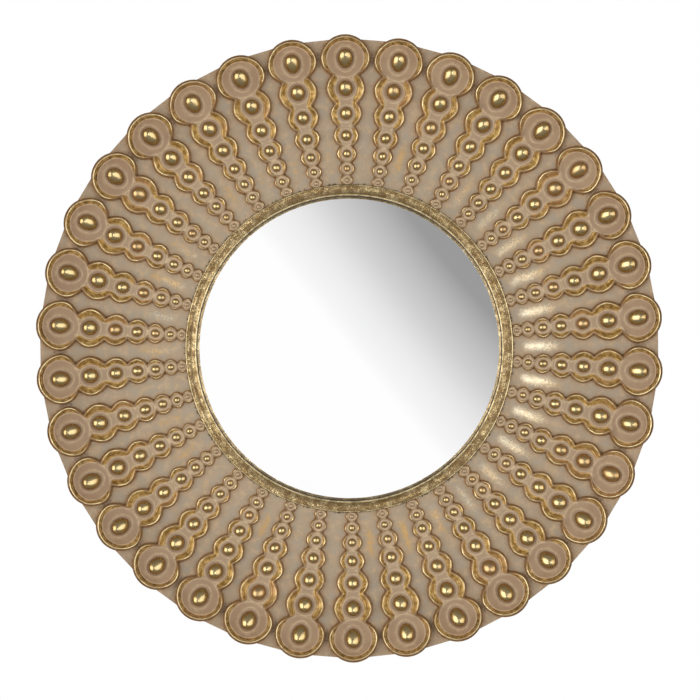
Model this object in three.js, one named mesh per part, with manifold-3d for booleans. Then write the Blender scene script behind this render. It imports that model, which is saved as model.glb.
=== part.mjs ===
// A round wall mirror with a convex glass.
// Lengths are in millimetres. Inside the model group x points right, y points up and z points away from
// the wall, with z = 0 on the wall. The group is turned at the end, so that the finished object has +Z up
// and faces -Y.
import * as THREE from "three";
import { mergeVertices } from "three/addons/utils/BufferGeometryUtils.js";
import Module from "manifold-3d";

const wasm = await Module();
wasm.setup();

// ---------------------------------------------------------------- driving dimensions

// Clearances
const SEAT_GAP = 0.3; // between two pieces that rest on each other
const ROUND_FIT = 0.5; // radial gap between two round pieces, one inside the other
const SCREW_CLEARANCE = 0.35; // radial gap between a screw and its hole

// Outline
const OVERALL_RADIUS = 400;
const SCALLOP_DEPTH = 6.5; // from the tops of the scallops in to the straight edge between them
const ROW_COUNT = 34;
const DISCS_PER_ROW = 7;

// Glass
const SIGHT_RADIUS = 196.5;
const GLASS_COVER = 6.5; // how far the sight ring laps over the glass
const GLASS_THICKNESS = 4;
const GLASS_RISE = 28; // from the glass's edge forwards to its middle
const GLAZING_CLEARANCE = 2; // between the glass's edge and the frame

// Sight ring
const RING_FLANGE_THICKNESS = 6.6;
const RING_SKIRT_WIDTH = 5.4;
const RING_SKIRT_DEPTH = 4.2;
const RING_PROUD = 5.2; // how far the ring stands in front of the frame's face
const RING_LIP_WIDTH = 3.6;
const RING_FACE_DROP = 3; // from the top of the lip down to the hollow face
const RING_BEAD_WIDTH = 2.4;

// Seal, cushion and back board
const SEAL_THICKNESS = 1; // at its thin inner edge
const SEAL_WIDTH = 4.6;
const CUSHION_WIDTH = 12;
const CUSHION_THICKNESS = 8.4;
const BOARD_THICKNESS = 6;
const BOARD_CHAMFER = 1;

// Frame section
const FACE_FLAT_WIDTH = 24; // level part of the face next to the sight ring
const FACE_RISE = 36; // from there forwards to the rim
const SHELL_THICKNESS = 11;
const EDGE_DRAFT = 1.2; // how much smaller the outline is at the back
const LEDGE_WIDTH = 16.5; // ledge that the back board lies on
const HUB_WIDTH = 52; // flat back of the thick hub, outside the back board
const HUB_SLOPE_WIDTH = 11;

// Rows of discs. The outermost disc is the widest, and each row fans in to the sight ring.
const OUTER_DISC_GAP = 3.4; // between two outermost discs
const OUTER_DISC_REACH = 30.9; // from its centre out to the rim
const OUTER_DISC_INNER_SHARE = 0.74; // its reach towards the middle, as a share of its half width
const SECOND_DISC_RADIUS = 25.6;
const LAST_DISC_RADIUS = 8.4;
const DISC_DEPTH_SHARE = 0.95; // a disc's reach along the row, as a share of its half width
const LAST_DISC_CUT = 0.9; // share of the last disc's inner half that is left by the ring's seat
const PITCH_RATIO = 0.41; // last distance between discs, as a share of the first
const MIN_ROW_GAP = 2;

// Relief
const BAND_AT_LAST = 2.4; // sloping band outside a disc's crest, seen from the front
const BAND_AT_FIRST = 3.8;
const RELIEF_AT_LAST = 3; // crest above the face
const RELIEF_AT_FIRST = 7.6;
const DISH_FLOOR_SHARE = 0.42; // height of the dish's floor, as a share of the crest's
const DOME_SHARE = 0.31; // a dome's half width, as a share of its disc's
const FIRST_DOME_LENGTH = 1.32; // a dome's length along the row, as a share of its width
const LAST_DOME_LENGTH = 1;
const DOME_RISE_SHARE = 0.9; // a dome's height, as a share of its half width

// Screws
const SCREW_SHANK_RADIUS = 1.9;
const SCREW_HEAD_RADIUS = 3.6;
const SCREW_HEAD_HEIGHT = 2.1;
const SCREW_CROWN_RADIUS = 2.2; // flat top of the head
const SCREW_HEAD_SIDE = 0.85; // upright side of the head
const SCREW_BITE = 11; // length in the frame
const SCREW_TIP = 2;
const BOARD_SCREW_COUNT = 6;
const BOARD_SCREW_INSET = 6; // from the recess's wall in to the screw

// Hanger
const STRAP_WIDTH = 16;
const STRAP_LENGTH = 40;
const STRAP_THICKNESS = 1.6;
const STRAP_TOP_INSET = 6.5; // from the hub's edge down to the eye
const RING_WIRE_RADIUS = 1.5;
const EYE_CLEARANCE = 0.35;
const RING_HALF_WIDTH = 12.5; // to the middle of the wire
const RING_BEND_RADIUS = 4;
const RING_SIDE_LENGTH = 10;
const FIRST_STRAP_SCREW = 9; // from the eye down to the upper screw
const LAST_STRAP_SCREW = 7; // from the strap's lower end up to the other

// Bumpers
const BUMPER_RADIUS = 10;
const BUMPER_HEIGHT = 8;
const BUMPER_EDGE = 1.5;
const BUMPER_ANGLES = [45, 135, 225, 315];

// Smoothness
const RING_SEGMENTS = 48;
const HIDDEN_SEGMENTS = 34;
const WIRE_STEPS = 28;
const WIRE_HALF_SIDES = 3; // straight stretches in half of the wire's section
const DISC_SEGMENTS = [4, 3, 3, 2, 2, 2, 1]; // along one side of each disc
const RIM_ARC_SEGMENTS = 2; // along half a scallop
const DOME_SIDES = [8, 6, 6, 5, 5, 4, 4];
const ROUNDED_DOMES = 3; // the largest domes have a second ring of corners
const SECOND_RING_SHARE = 0.66; // its radius, as a share of the dome's
const GLASS_RINGS = [0.45, 0.8, 1]; // radii of the glass's rings of corners, as shares of its own
const EYE_SEGMENTS = 10;
const SCREW_SIDES = 6;
const BUMPER_SIDES = 10;

// ---------------------------------------------------------------- derived sizes

const STEP = (2 * Math.PI) / ROW_COUNT;
const webRadius = OVERALL_RADIUS - SCALLOP_DEPTH;

const glassRadius = SIGHT_RADIUS + GLASS_COVER;
const boreRadius = glassRadius + GLAZING_CLEARANCE;
const skirtInner = boreRadius + SEAT_GAP;
const ringRadius = skirtInner + RING_SKIRT_WIDTH;
const ringSeatRadius = ringRadius + ROUND_FIT;
const recessRadius = boreRadius + LEDGE_WIDTH;
const boardRadius = recessRadius - ROUND_FIT;
const hubRadius = recessRadius + HUB_WIDTH;
const hubMiddle = recessRadius + HUB_WIDTH / 2;
const shellInner = hubRadius + HUB_SLOPE_WIDTH;

const hubBack = BUMPER_HEIGHT + SEAT_GAP;
const boardFront = hubBack + BOARD_THICKNESS;
const ledgeFace = boardFront + SEAT_GAP;
const cushionBack = boardFront + SEAT_GAP;
const glassEdgeBack = cushionBack + CUSHION_THICKNESS + SEAT_GAP;
const glassCurve = (glassRadius ** 2 + GLASS_RISE ** 2) / (2 * GLASS_RISE);

/** Height of the glass's back at a radius. The front is the same curve, one thickness further on. */
function glassBack(radius) {
  const centre = glassEdgeBack + GLASS_RISE - glassCurve;
  return centre + Math.sqrt(glassCurve ** 2 - radius ** 2);
}

function glassFront(radius) {
  return glassBack(radius) + GLASS_THICKNESS;
}

const flangeBack = glassFront(SIGHT_RADIUS) + SEAL_THICKNESS + 2 * SEAT_GAP;
const skirtBack = flangeBack - RING_SKIRT_DEPTH;
const ringSeat = skirtBack - SEAT_GAP;
const ringFront = flangeBack + RING_FLANGE_THICKNESS;
const faceLevel = ringFront - RING_PROUD;

const riseStart = ringSeatRadius + FACE_FLAT_WIDTH;
const riseWidth = OVERALL_RADIUS - riseStart;
const riseCurve = (riseWidth ** 2 + FACE_RISE ** 2) / (2 * FACE_RISE);

/** Height of the frame's plain face at a radius: level by the ring, then a rising arc. */
function face(radius) {
  const out = Math.max(0, radius - riseStart);
  return faceLevel + riseCurve - Math.sqrt(riseCurve ** 2 - out ** 2);
}

// ---------------------------------------------------------------- geometry helpers

/** Merges the shared corners of a geometry and drops triangles that have closed up. */
function tidy(geometry) {
  geometry.deleteAttribute("normal");
  geometry.deleteAttribute("uv");
  const merged = mergeVertices(geometry, 1e-3);
  const corners = merged.index.array;
  const kept = [];
  for (let i = 0; i < corners.length; i += 3) {
    const [a, b, c] = [corners[i], corners[i + 1], corners[i + 2]];
    if (a !== b && b !== c && c !== a) kept.push(a, b, c);
  }
  merged.setIndex(kept);
  return merged;
}

function toSolid(geometry) {
  const merged = tidy(geometry);
  const mesh = new wasm.Mesh({
    numProp: 3,
    vertProperties: new Float32Array(merged.attributes.position.array),
    triVerts: new Uint32Array(merged.index.array),
  });
  return new wasm.Manifold(mesh);
}

function toGeometry(solid) {
  const mesh = solid.getMesh();
  const geometry = new THREE.BufferGeometry();
  geometry.setAttribute("position", new THREE.BufferAttribute(new Float32Array(mesh.vertProperties), 3));
  geometry.setIndex(Array.from(mesh.triVerts));
  return geometry;
}

/** Cuts every cutter out of a geometry. */
function cut(geometry, cutters) {
  let solid = toSolid(geometry);
  for (const cutter of cutters) solid = solid.subtract(toSolid(cutter));
  return toGeometry(solid);
}

/** Turns a profile of [radius, height] points round the z axis. The profile runs from back to front. */
function revolve(profile, segments) {
  const points = profile.map(([radius, height]) => new THREE.Vector2(radius, height));
  return tidy(new THREE.LatheGeometry(points, segments).rotateX(Math.PI / 2));
}

/** A ring has a closed profile, listed from its inner back corner outwards, forwards and back in. */
function revolveRing(profile, segments) {
  return revolve([...profile, profile[0]], segments);
}

/** A round bar along z. */
function bar(radius, low, high, sides) {
  const profile = [
    [0, low],
    [radius, low],
    [radius, high],
    [0, high],
  ];
  return revolve(profile, sides);
}

/** The place of a point seen from the front: angle clockwise from the top, and radius. */
function polar(angle, radius) {
  return [radius * Math.sin(angle), radius * Math.cos(angle)];
}

// ---------------------------------------------------------------- the frame's rows of discs

const firstCentre = OVERALL_RADIUS - OUTER_DISC_REACH;
const lastReach = (LAST_DISC_RADIUS - BAND_AT_LAST) * DISC_DEPTH_SHARE;
const lastCentre = ringSeatRadius + LAST_DISC_CUT * lastReach;

/** Value at a distance along a row, between the last disc's value and the first disc's. */
function alongRow(along, atLast, atFirst) {
  const share = (along - lastCentre) / (firstCentre - lastCentre);
  return atLast + share * (atFirst - atLast);
}

/** Centres of a row's discs, from the rim inwards. The distances between them shrink by equal steps. */
function discCentres() {
  const gaps = DISCS_PER_ROW - 1;
  const first = (2 * (firstCentre - lastCentre)) / (gaps * (1 + PITCH_RATIO));
  const shrink = (first * (1 - PITCH_RATIO)) / (gaps - 1);
  const centres = [firstCentre];
  for (let i = 0; i < gaps; i++) centres.push(centres[i] - first + i * shrink);
  return centres;
}

/** The discs of a row: outline at the foot, and the dome in the middle. */
function rowDiscs() {
  const centres = discCentres();
  return centres.map((centre, i) => {
    const room = centre * Math.sin(STEP / 2);
    const spread = (SECOND_DISC_RADIUS - LAST_DISC_RADIUS) / (centres[1] - lastCentre);
    const wanted = LAST_DISC_RADIUS + (centre - lastCentre) * spread;
    const halfWidth = i === 0 ? room - OUTER_DISC_GAP / 2 : Math.min(wanted, room - MIN_ROW_GAP / 2);
    const dome = halfWidth * DOME_SHARE;
    return {
      centre,
      halfWidth,
      outward: i === 0 ? OUTER_DISC_REACH : halfWidth * DISC_DEPTH_SHARE,
      inward: halfWidth * (i === 0 ? OUTER_DISC_INNER_SHARE : DISC_DEPTH_SHARE),
      band: alongRow(centre, BAND_AT_LAST, BAND_AT_FIRST),
      domeHalfWidth: dome,
      domeHalfLength: dome * alongRow(centre, LAST_DOME_LENGTH, FIRST_DOME_LENGTH),
    };
  });
}

/** The same disc's outline, drawn in by an inset on every side. */
function drawnIn(disc, inset) {
  return {
    centre: disc.centre,
    halfWidth: disc.halfWidth - inset,
    outward: disc.outward - inset,
    inward: disc.inward - inset,
  };
}

/** Point of a disc's outline. Angle 0 is its outermost point and PI its innermost. */
function outlinePoint(disc, angle) {
  const reach = angle < Math.PI / 2 ? disc.outward : disc.inward;
  return { across: disc.halfWidth * Math.sin(angle), along: disc.centre + reach * Math.cos(angle) };
}

/** Above zero outside a disc's outline, below zero inside. */
function outside(disc, point) {
  const off = point.along - disc.centre;
  const reach = off > 0 ? disc.outward : disc.inward;
  return (point.across / disc.halfWidth) ** 2 + (off / reach) ** 2 - 1;
}

/** The angle between two others at which a falling function passes through zero. */
function crossing(from, to, value) {
  let [low, high] = [from, to];
  for (let i = 0; i < 50; i++) {
    const middle = (low + high) / 2;
    if (value(middle) > 0) low = middle;
    else high = middle;
  }
  return (low + high) / 2;
}

/**
 * One side of a row's outline, from its outermost point in to the ring's seat. The discs' outlines run
 * into each other at waists. The result lists the points, and where each disc starts and ends.
 */
function rowSide(discs, rimAngle) {
  const points = [];
  const spans = [];
  let start = 0;
  discs.forEach((disc, i) => {
    const next = discs[i + 1];
    const past = next
      ? (angle) => outside(next, outlinePoint(disc, angle))
      : (angle) => Math.hypot(...Object.values(outlinePoint(disc, angle))) - ringSeatRadius;
    const end = crossing(Math.PI / 2, Math.PI, past);
    const first = Math.max(0, points.length - 1);
    if (i === 0) {
      for (let j = 0; j <= RIM_ARC_SEGMENTS; j++) {
        points.push(outlinePoint(disc, (rimAngle * j) / RIM_ARC_SEGMENTS));
      }
      start = rimAngle;
    }
    for (let j = 1; j <= DISC_SEGMENTS[i]; j++) {
      points.push(outlinePoint(disc, start + ((end - start) * j) / DISC_SEGMENTS[i]));
    }
    spans.push([first, points.length - 1]);
    if (next) {
      const waist = points[points.length - 1];
      const off = waist.along - next.centre;
      start = Math.atan2(waist.across / next.halfWidth, off / (off > 0 ? next.outward : next.inward));
    }
  });
  return { points, spans };
}

/** A surface that is built up from corners and triangles. */
class Surface {
  constructor() {
    this.corners = [];
    this.triangles = [];
  }

  corner(x, y, z) {
    this.corners.push(x, y, z);
    return this.corners.length / 3 - 1;
  }

  /** Adds a triangle, mirrored on the left side of a row. */
  triangle(a, b, c, side = 1) {
    if (side > 0) this.triangles.push(a, b, c);
    else this.triangles.push(a, c, b);
  }

  /** Fills the strip between two lines of [key, corner] whose keys rise. The first lies on the right hand. */
  strip(rightHand, leftHand, side = 1) {
    let [i, j] = [0, 0];
    while (i < rightHand.length - 1 || j < leftHand.length - 1) {
      const nextRight = i < rightHand.length - 1 ? rightHand[i + 1][0] : Infinity;
      const nextLeft = j < leftHand.length - 1 ? leftHand[j + 1][0] : Infinity;
      if (nextRight <= nextLeft) {
        this.triangle(rightHand[i][1], rightHand[i + 1][1], leftHand[j][1], side);
        i++;
      } else {
        this.triangle(rightHand[i][1], leftHand[j + 1][1], leftHand[j][1], side);
        j++;
      }
    }
  }

  geometry() {
    const geometry = new THREE.BufferGeometry();
    geometry.setAttribute("position", new THREE.Float32BufferAttribute(this.corners, 3));
    geometry.setIndex(this.triangles);
    return geometry;
  }
}

/** Repeats a closed loop's first corner at its end, one full turn later. */
function closeLoop(loop) {
  return [...loop, [loop[0][0] + 2 * Math.PI, loop[0][1]]];
}

/** The frame before its screw holes are drilled: one closed surface. */
function frameSurface() {
  const surface = new Surface();
  const discs = rowDiscs();
  const half = STEP / 2;
  const toWeb = (angle) => {
    const point = outlinePoint(discs[0], angle);
    return point.across * Math.sin(half) + point.along * Math.cos(half) - webRadius;
  };
  const rimAngle = crossing(0, Math.PI / 2, toWeb);
  const foot = rowSide(discs, rimAngle);
  const crest = rowSide(discs.map((disc) => drawnIn(disc, disc.band)), rimAngle);
  const reliefAt = (along) => alongRow(along, RELIEF_AT_LAST, RELIEF_AT_FIRST);

  /** Adds a corner at a place in a row, at a share of the relief above the face, or lifted further. */
  const place = (angle, { across, along }, reliefShare, lift = 0) => {
    const radius = Math.hypot(across, along);
    const [x, y] = polar(angle + Math.atan2(across, along), radius);
    return surface.corner(x, y, face(radius) + reliefShare * reliefAt(along) + lift);
  };

  // Lines of corners midway between the rows, from the straight edge in to the ring's seat.
  const everyOther = discs.slice(1, -1).filter((_, i) => i % 2 === 0);
  const betweenRadii = [webRadius, ...everyOther.map((disc) => disc.centre), ringSeatRadius];
  const between = [];
  for (let k = 0; k < ROW_COUNT; k++) {
    const angle = (k + 0.5) * STEP;
    const onFace = (radius) => surface.corner(...polar(angle, radius), face(radius));
    between.push(betweenRadii.map((radius) => [-radius, onFace(radius)]));
  }

  const rim = [];
  const seatEdge = [];
  for (let k = 0; k < ROW_COUNT; k++) {
    const angle = k * STEP;
    const inRow = (point, reliefShare, lift) => place(angle, point, reliefShare, lift);
    const lines = dressRow(surface, discs, foot, crest, inRow);
    for (const side of [1, -1]) {
      const bank = side > 0 ? between[k] : between[(k + ROW_COUNT - 1) % ROW_COUNT];
      const edge = lines.foot[side].slice(RIM_ARC_SEGMENTS).map((corner, i) => {
        const point = foot.points[RIM_ARC_SEGMENTS + i];
        return [-Math.hypot(point.across, point.along), corner];
      });
      surface.strip(edge, bank, side);
    }
    const keyed = (points, corners, side) => corners.map((corner, i) => {
      const point = points[i];
      return [angle + side * Math.atan2(point.across, point.along), corner];
    });
    const arcPoints = foot.points.slice(0, RIM_ARC_SEGMENTS + 1);
    const leftArc = keyed(arcPoints, lines.foot[-1].slice(0, RIM_ARC_SEGMENTS + 1), -1).reverse();
    const rightArc = keyed(arcPoints, lines.foot[1].slice(0, RIM_ARC_SEGMENTS + 1), 1).slice(1);
    rim.push(...leftArc, ...rightArc, [angle + half, between[k][0][1]]);
    const ends = [foot.points.at(-1), crest.points.at(-1)];
    const left = keyed(ends, [lines.foot[-1].at(-1), lines.crest[-1].at(-1)], -1);
    const right = keyed(ends, [lines.foot[1].at(-1), lines.crest[1].at(-1)], 1);
    seatEdge.push(...left, [angle, lines.floorEnd], ...right.reverse(), [angle + half, between[k].at(-1)[1]]);
  }

  // The back, as loops round the frame from the rim inwards, through the recess and the bore to the seat.
  const loop = (radius, height, perRow, start = 0) => {
    const corners = [];
    for (let i = 0; i < ROW_COUNT * perRow; i++) {
      const angle = start + (i * STEP) / perRow;
      corners.push([angle, surface.corner(...polar(angle, radius), height)]);
    }
    return corners;
  };
  const backRim = rim.map(([angle, corner]) => {
    const [x, y, z] = surface.corners.slice(3 * corner, 3 * corner + 3);
    const drawn = 1 - EDGE_DRAFT / OVERALL_RADIUS;
    return [angle, surface.corner(x * drawn, y * drawn, z - SHELL_THICKNESS)];
  });
  const behindDiscs = discs[0].centre;
  const loops = [
    rim,
    backRim,
    loop(behindDiscs, face(behindDiscs) - SHELL_THICKNESS, 1),
    loop(shellInner, face(shellInner) - SHELL_THICKNESS, 1),
    loop(hubRadius, hubBack, 2),
    loop(recessRadius, hubBack, 2),
    loop(recessRadius, ledgeFace, 2),
    loop(boreRadius, ledgeFace, 2),
    loop(boreRadius, ringSeat, 2),
    loop(ringSeatRadius, ringSeat, 2),
    seatEdge,
  ];
  for (let i = 0; i < loops.length - 1; i++) {
    surface.strip(closeLoop(loops[i]), closeLoop(loops[i + 1]));
  }
  return surface;
}

/** Adds one row's bands, dishes and domes. Gives back its lines of corners on each side. */
function dressRow(surface, discs, foot, crest, place) {
  const mirrored = ({ across, along }) => ({ across: -across, along });
  const middle = { foot: place(foot.points[0], 0), crest: place(crest.points[0], 1) };
  const lines = { foot: {}, crest: {} };
  for (const side of [1, -1]) {
    const turned = (point) => (side > 0 ? point : mirrored(point));
    lines.foot[side] = foot.points.map((point, i) => (i === 0 ? middle.foot : place(turned(point), 0)));
    lines.crest[side] = crest.points.map((point, i) => (i === 0 ? middle.crest : place(turned(point), 1)));
    const keyed = (corners) => corners.map((corner, i) => [i, corner]);
    surface.strip(keyed(lines.crest[side]), keyed(lines.foot[side]), side);
  }
  let outerFloor = null;
  discs.forEach((disc, i) => {
    const [from, to] = crest.spans[i];
    const last = i === discs.length - 1;
    const end = crest.points[to];
    const endAlong = last ? Math.hypot(end.across, end.along) : end.along;
    const innerFloorPoint = { across: 0, along: endAlong };
    const innerFloor = { point: innerFloorPoint, corner: place(innerFloorPoint, DISH_FLOOR_SHARE) };
    const edge = [innerFloor];
    if (outerFloor) edge.push(outerFloor);
    for (let j = from; j <= to; j++) {
      const point = crest.points[j];
      edge.push({ point, corner: lines.crest[1][j] });
      if (j > 0) edge.push({ point: mirrored(point), corner: lines.crest[-1][j] });
    }
    addDish(surface, disc, i, edge, place);
    outerFloor = innerFloor;
    if (last) lines.floorEnd = innerFloor.corner;
  });
  return lines;
}

/** Fills a disc's dish, from its edge in to the dome, and puts the dome on it. */
function addDish(surface, disc, index, edge, place) {
  const sides = DOME_SIDES[index];
  const rise = DOME_RISE_SHARE * disc.domeHalfWidth;
  const ring = (share) => {
    const corners = [];
    for (let i = 0; i < sides; i++) {
      const turn = (2 * Math.PI * (i + 0.5)) / sides;
      const point = {
        across: share * disc.domeHalfWidth * Math.cos(turn),
        along: disc.centre + share * disc.domeHalfLength * Math.sin(turn),
      };
      const lift = rise * Math.sqrt(1 - share ** 2);
      corners.push([turn, place(point, DISH_FLOOR_SHARE, lift)]);
    }
    return corners;
  };
  const turnOf = ({ across, along }) => {
    const turn = Math.atan2(along - disc.centre, across);
    return turn < 0 ? turn + 2 * Math.PI : turn;
  };
  const outer = edge.map(({ point, corner }) => [turnOf(point), corner]).sort((a, b) => a[0] - b[0]);
  const base = ring(1);
  surface.strip(closeLoop(base), closeLoop(outer), -1);
  let crown = base;
  if (index < ROUNDED_DOMES) {
    crown = ring(SECOND_RING_SHARE);
    surface.strip(closeLoop(crown), closeLoop(base), -1);
  }
  const peak = place({ across: 0, along: disc.centre }, DISH_FLOOR_SHARE, rise);
  const closed = closeLoop(crown);
  for (let i = 0; i < sides; i++) surface.triangle(closed[i][1], closed[i + 1][1], peak);
}

/** The places of the screws that hold the back board. */
function boardScrewPlaces() {
  const places = [];
  for (let i = 0; i < BOARD_SCREW_COUNT; i++) {
    places.push(polar(((i + 0.5) * 2 * Math.PI) / BOARD_SCREW_COUNT, recessRadius - BOARD_SCREW_INSET));
  }
  return places;
}

const eyeHeight = hubRadius - STRAP_TOP_INSET;

/** The places of the two screws that hold the hanger's strap. */
function strapScrewPlaces() {
  const lower = STRAP_LENGTH - LAST_STRAP_SCREW;
  return [FIRST_STRAP_SCREW, lower].map((drop) => [0, eyeHeight - drop]);
}

function screwHole(places, low, high) {
  const radius = SCREW_SHANK_RADIUS + SCREW_CLEARANCE;
  return places.map(([x, y]) => bar(radius, low, high, SCREW_SIDES).translate(x, y, 0));
}

function frameCasting() {
  const depth = SCREW_BITE + 2 * SEAT_GAP;
  const holes = [
    ...screwHole(boardScrewPlaces(), ledgeFace - SEAT_GAP, ledgeFace + depth),
    ...screwHole(strapScrewPlaces(), hubBack - SEAT_GAP, hubBack + depth),
  ];
  return cut(frameSurface().geometry(), holes);
}

// ---------------------------------------------------------------- the glass and what holds it

/** The ring round the glass: rounded lip, hollow face, raised outer bead, and a skirt let into the frame. */
function sightRing() {
  const hollow = ringFront - RING_FACE_DROP;
  const beadTop = ringFront - RING_FACE_DROP / 2 - SEAT_GAP;
  return revolveRing(
    [
      [SIGHT_RADIUS, flangeBack],
      [skirtInner, flangeBack],
      [skirtInner, skirtBack],
      [ringRadius, skirtBack],
      [ringRadius, hollow],
      [ringRadius - RING_BEAD_WIDTH / 2, beadTop],
      [ringRadius - RING_BEAD_WIDTH, hollow],
      [SIGHT_RADIUS + RING_LIP_WIDTH, (ringFront + hollow) / 2],
      [SIGHT_RADIUS + RING_LIP_WIDTH / 2, ringFront],
      [SIGHT_RADIUS, (ringFront + hollow) / 2],
    ],
    RING_SEGMENTS,
  );
}

function convexGlass() {
  const radii = GLASS_RINGS.map((share) => share * glassRadius);
  const back = radii.map((radius) => [radius, glassBack(radius)]);
  const front = radii.map((radius) => [radius, glassFront(radius)]).reverse();
  return revolve([[0, glassBack(0)], ...back, ...front, [0, glassFront(0)]], HIDDEN_SEGMENTS);
}

/** Felt strip under the sight ring's flange: flat in front, and sloping with the glass behind. */
function glassSeal() {
  const inner = SIGHT_RADIUS + SEAT_GAP;
  const outer = inner + SEAL_WIDTH;
  return revolveRing(
    [
      [inner, glassFront(inner) + SEAT_GAP],
      [outer, glassFront(outer) + SEAT_GAP],
      [outer, flangeBack - SEAT_GAP],
      [inner, flangeBack - SEAT_GAP],
    ],
    HIDDEN_SEGMENTS,
  );
}

/** Foam ring between the back board and the glass. */
function cushionRing() {
  const inner = glassRadius - CUSHION_WIDTH;
  return revolveRing(
    [
      [inner, cushionBack],
      [glassRadius, cushionBack],
      [glassRadius, glassBack(glassRadius) - SEAT_GAP],
      [inner, glassBack(inner) - SEAT_GAP],
    ],
    HIDDEN_SEGMENTS,
  );
}

function backBoard() {
  const disc = revolve(
    [
      [0, hubBack],
      [boardRadius - BOARD_CHAMFER, hubBack],
      [boardRadius, hubBack + BOARD_CHAMFER],
      [boardRadius, boardFront],
      [0, boardFront],
    ],
    HIDDEN_SEGMENTS,
  );
  return cut(disc, screwHole(boardScrewPlaces(), hubBack - SEAT_GAP, boardFront + SEAT_GAP));
}

/** A pan-head screw. Its head's underside lies a seat gap behind the face that it clamps. */
function screw(clampedFace, tip) {
  const under = clampedFace - SEAT_GAP;
  const top = under - SCREW_HEAD_HEIGHT;
  return revolve(
    [
      [0, top],
      [SCREW_CROWN_RADIUS, top],
      [SCREW_HEAD_RADIUS, under - SCREW_HEAD_SIDE],
      [SCREW_HEAD_RADIUS, under],
      [SCREW_SHANK_RADIUS, under],
      [SCREW_SHANK_RADIUS, tip - SCREW_TIP],
      [0, tip],
    ],
    SCREW_SIDES,
  );
}

// ---------------------------------------------------------------- hanger and bumpers

const strapFront = hubBack - SEAT_GAP;
const strapBack = strapFront - STRAP_THICKNESS;
const eyeHole = RING_WIRE_RADIUS + EYE_CLEARANCE;
const eyeRadius = eyeHole + STRAP_THICKNESS;
const eyeDepth = strapFront - eyeRadius;

/** Steel strap whose upper end is rolled into an eye. It is drawn from the side and extruded across. */
function hangerStrap() {
  const side = new THREE.Shape();
  const meeting = Math.asin(eyeHole / eyeRadius);
  side.moveTo(eyeHeight - STRAP_LENGTH, strapBack);
  side.lineTo(eyeHeight - eyeRadius * Math.cos(meeting), strapBack);
  side.absarc(eyeHeight, eyeDepth, eyeRadius, Math.PI - meeting, Math.PI / 2, false);
  side.lineTo(eyeHeight - STRAP_LENGTH, strapFront);
  const hole = new THREE.Path();
  hole.absarc(eyeHeight, eyeDepth, eyeHole, 0, 2 * Math.PI, true);
  side.holes.push(hole);
  const across = { depth: STRAP_WIDTH, bevelEnabled: false, curveSegments: EYE_SEGMENTS };
  const plate = new THREE.ExtrudeGeometry(side, across);
  // The drawing's first axis runs up the wall and its second away from it.
  const turn = new THREE.Matrix4().set(0, 0, 1, -STRAP_WIDTH / 2, 1, 0, 0, 0, 0, 1, 0, 0, 0, 0, 0, 1);
  plate.applyMatrix4(turn);
  return cut(plate, screwHole(strapScrewPlaces(), strapBack - SEAT_GAP, strapFront + SEAT_GAP));
}

/** The D-ring's line: along the bar in the eye, round the bow, and back to the bar's middle. */
class HangerRingLine extends THREE.Curve {
  constructor() {
    super();
    const line = new THREE.Path();
    const inner = RING_HALF_WIDTH - RING_BEND_RADIUS;
    const side = -RING_BEND_RADIUS - RING_SIDE_LENGTH;
    line.moveTo(SEAT_GAP / 2, 0);
    line.lineTo(inner, 0);
    line.absarc(inner, -RING_BEND_RADIUS, RING_BEND_RADIUS, Math.PI / 2, 0, true);
    line.lineTo(RING_HALF_WIDTH, side);
    line.absarc(0, side, RING_HALF_WIDTH, 0, -Math.PI, true);
    line.lineTo(-RING_HALF_WIDTH, -RING_BEND_RADIUS);
    line.absarc(-inner, -RING_BEND_RADIUS, RING_BEND_RADIUS, Math.PI, Math.PI / 2, true);
    line.lineTo(-SEAT_GAP / 2, 0);
    this.line = line;
  }

  getPoint(share) {
    const point = this.line.getPoint(share);
    return new THREE.Vector3(point.x, point.y, 0);
  }
}

function hangerRing() {
  const wire = new THREE.Shape();
  wire.absarc(0, 0, RING_WIRE_RADIUS, 0, 2 * Math.PI, false);
  const bow = { steps: WIRE_STEPS, curveSegments: WIRE_HALF_SIDES, extrudePath: new HangerRingLine() };
  return tidy(new THREE.ExtrudeGeometry(wire, bow).translate(0, eyeHeight, eyeDepth));
}

/** Rubber bumper: a tapered button whose flat back touches the wall. */
function wallBumper() {
  return revolve(
    [
      [0, 0],
      [BUMPER_RADIUS - BUMPER_EDGE, 0],
      [BUMPER_RADIUS - BUMPER_EDGE / 3, BUMPER_EDGE],
      [BUMPER_RADIUS, BUMPER_HEIGHT],
      [0, BUMPER_HEIGHT],
    ],
    BUMPER_SIDES,
  );
}

// ---------------------------------------------------------------- the assembly

const gilt = { color: 0xb49a7a, roughness: 0.5, metalness: 0.25 };
const goldLeaf = { color: 0x9c8050, roughness: 0.4, metalness: 0.7 };
const silvered = { color: 0xe4e7ea, roughness: 0.03, metalness: 1 };
const felt = { color: 0x26241f, roughness: 0.95, metalness: 0 };
const foam = { color: 0x3b3b3d, roughness: 0.95, metalness: 0 };
const fibreboard = { color: 0x8a6a48, roughness: 0.85, metalness: 0 };
const zincPlate = { color: 0xb9bbbd, roughness: 0.35, metalness: 1 };
const rubber = { color: 0x1d1d1e, roughness: 0.8, metalness: 0 };

const model = new THREE.Group();
model.rotation.x = Math.PI / 2;

function add(name, geometry, finish, [x, y] = [0, 0]) {
  const mesh = new THREE.Mesh(geometry, new THREE.MeshStandardMaterial(finish));
  mesh.name = name;
  mesh.position.set(x, y, 0);
  model.add(mesh);
}

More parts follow.
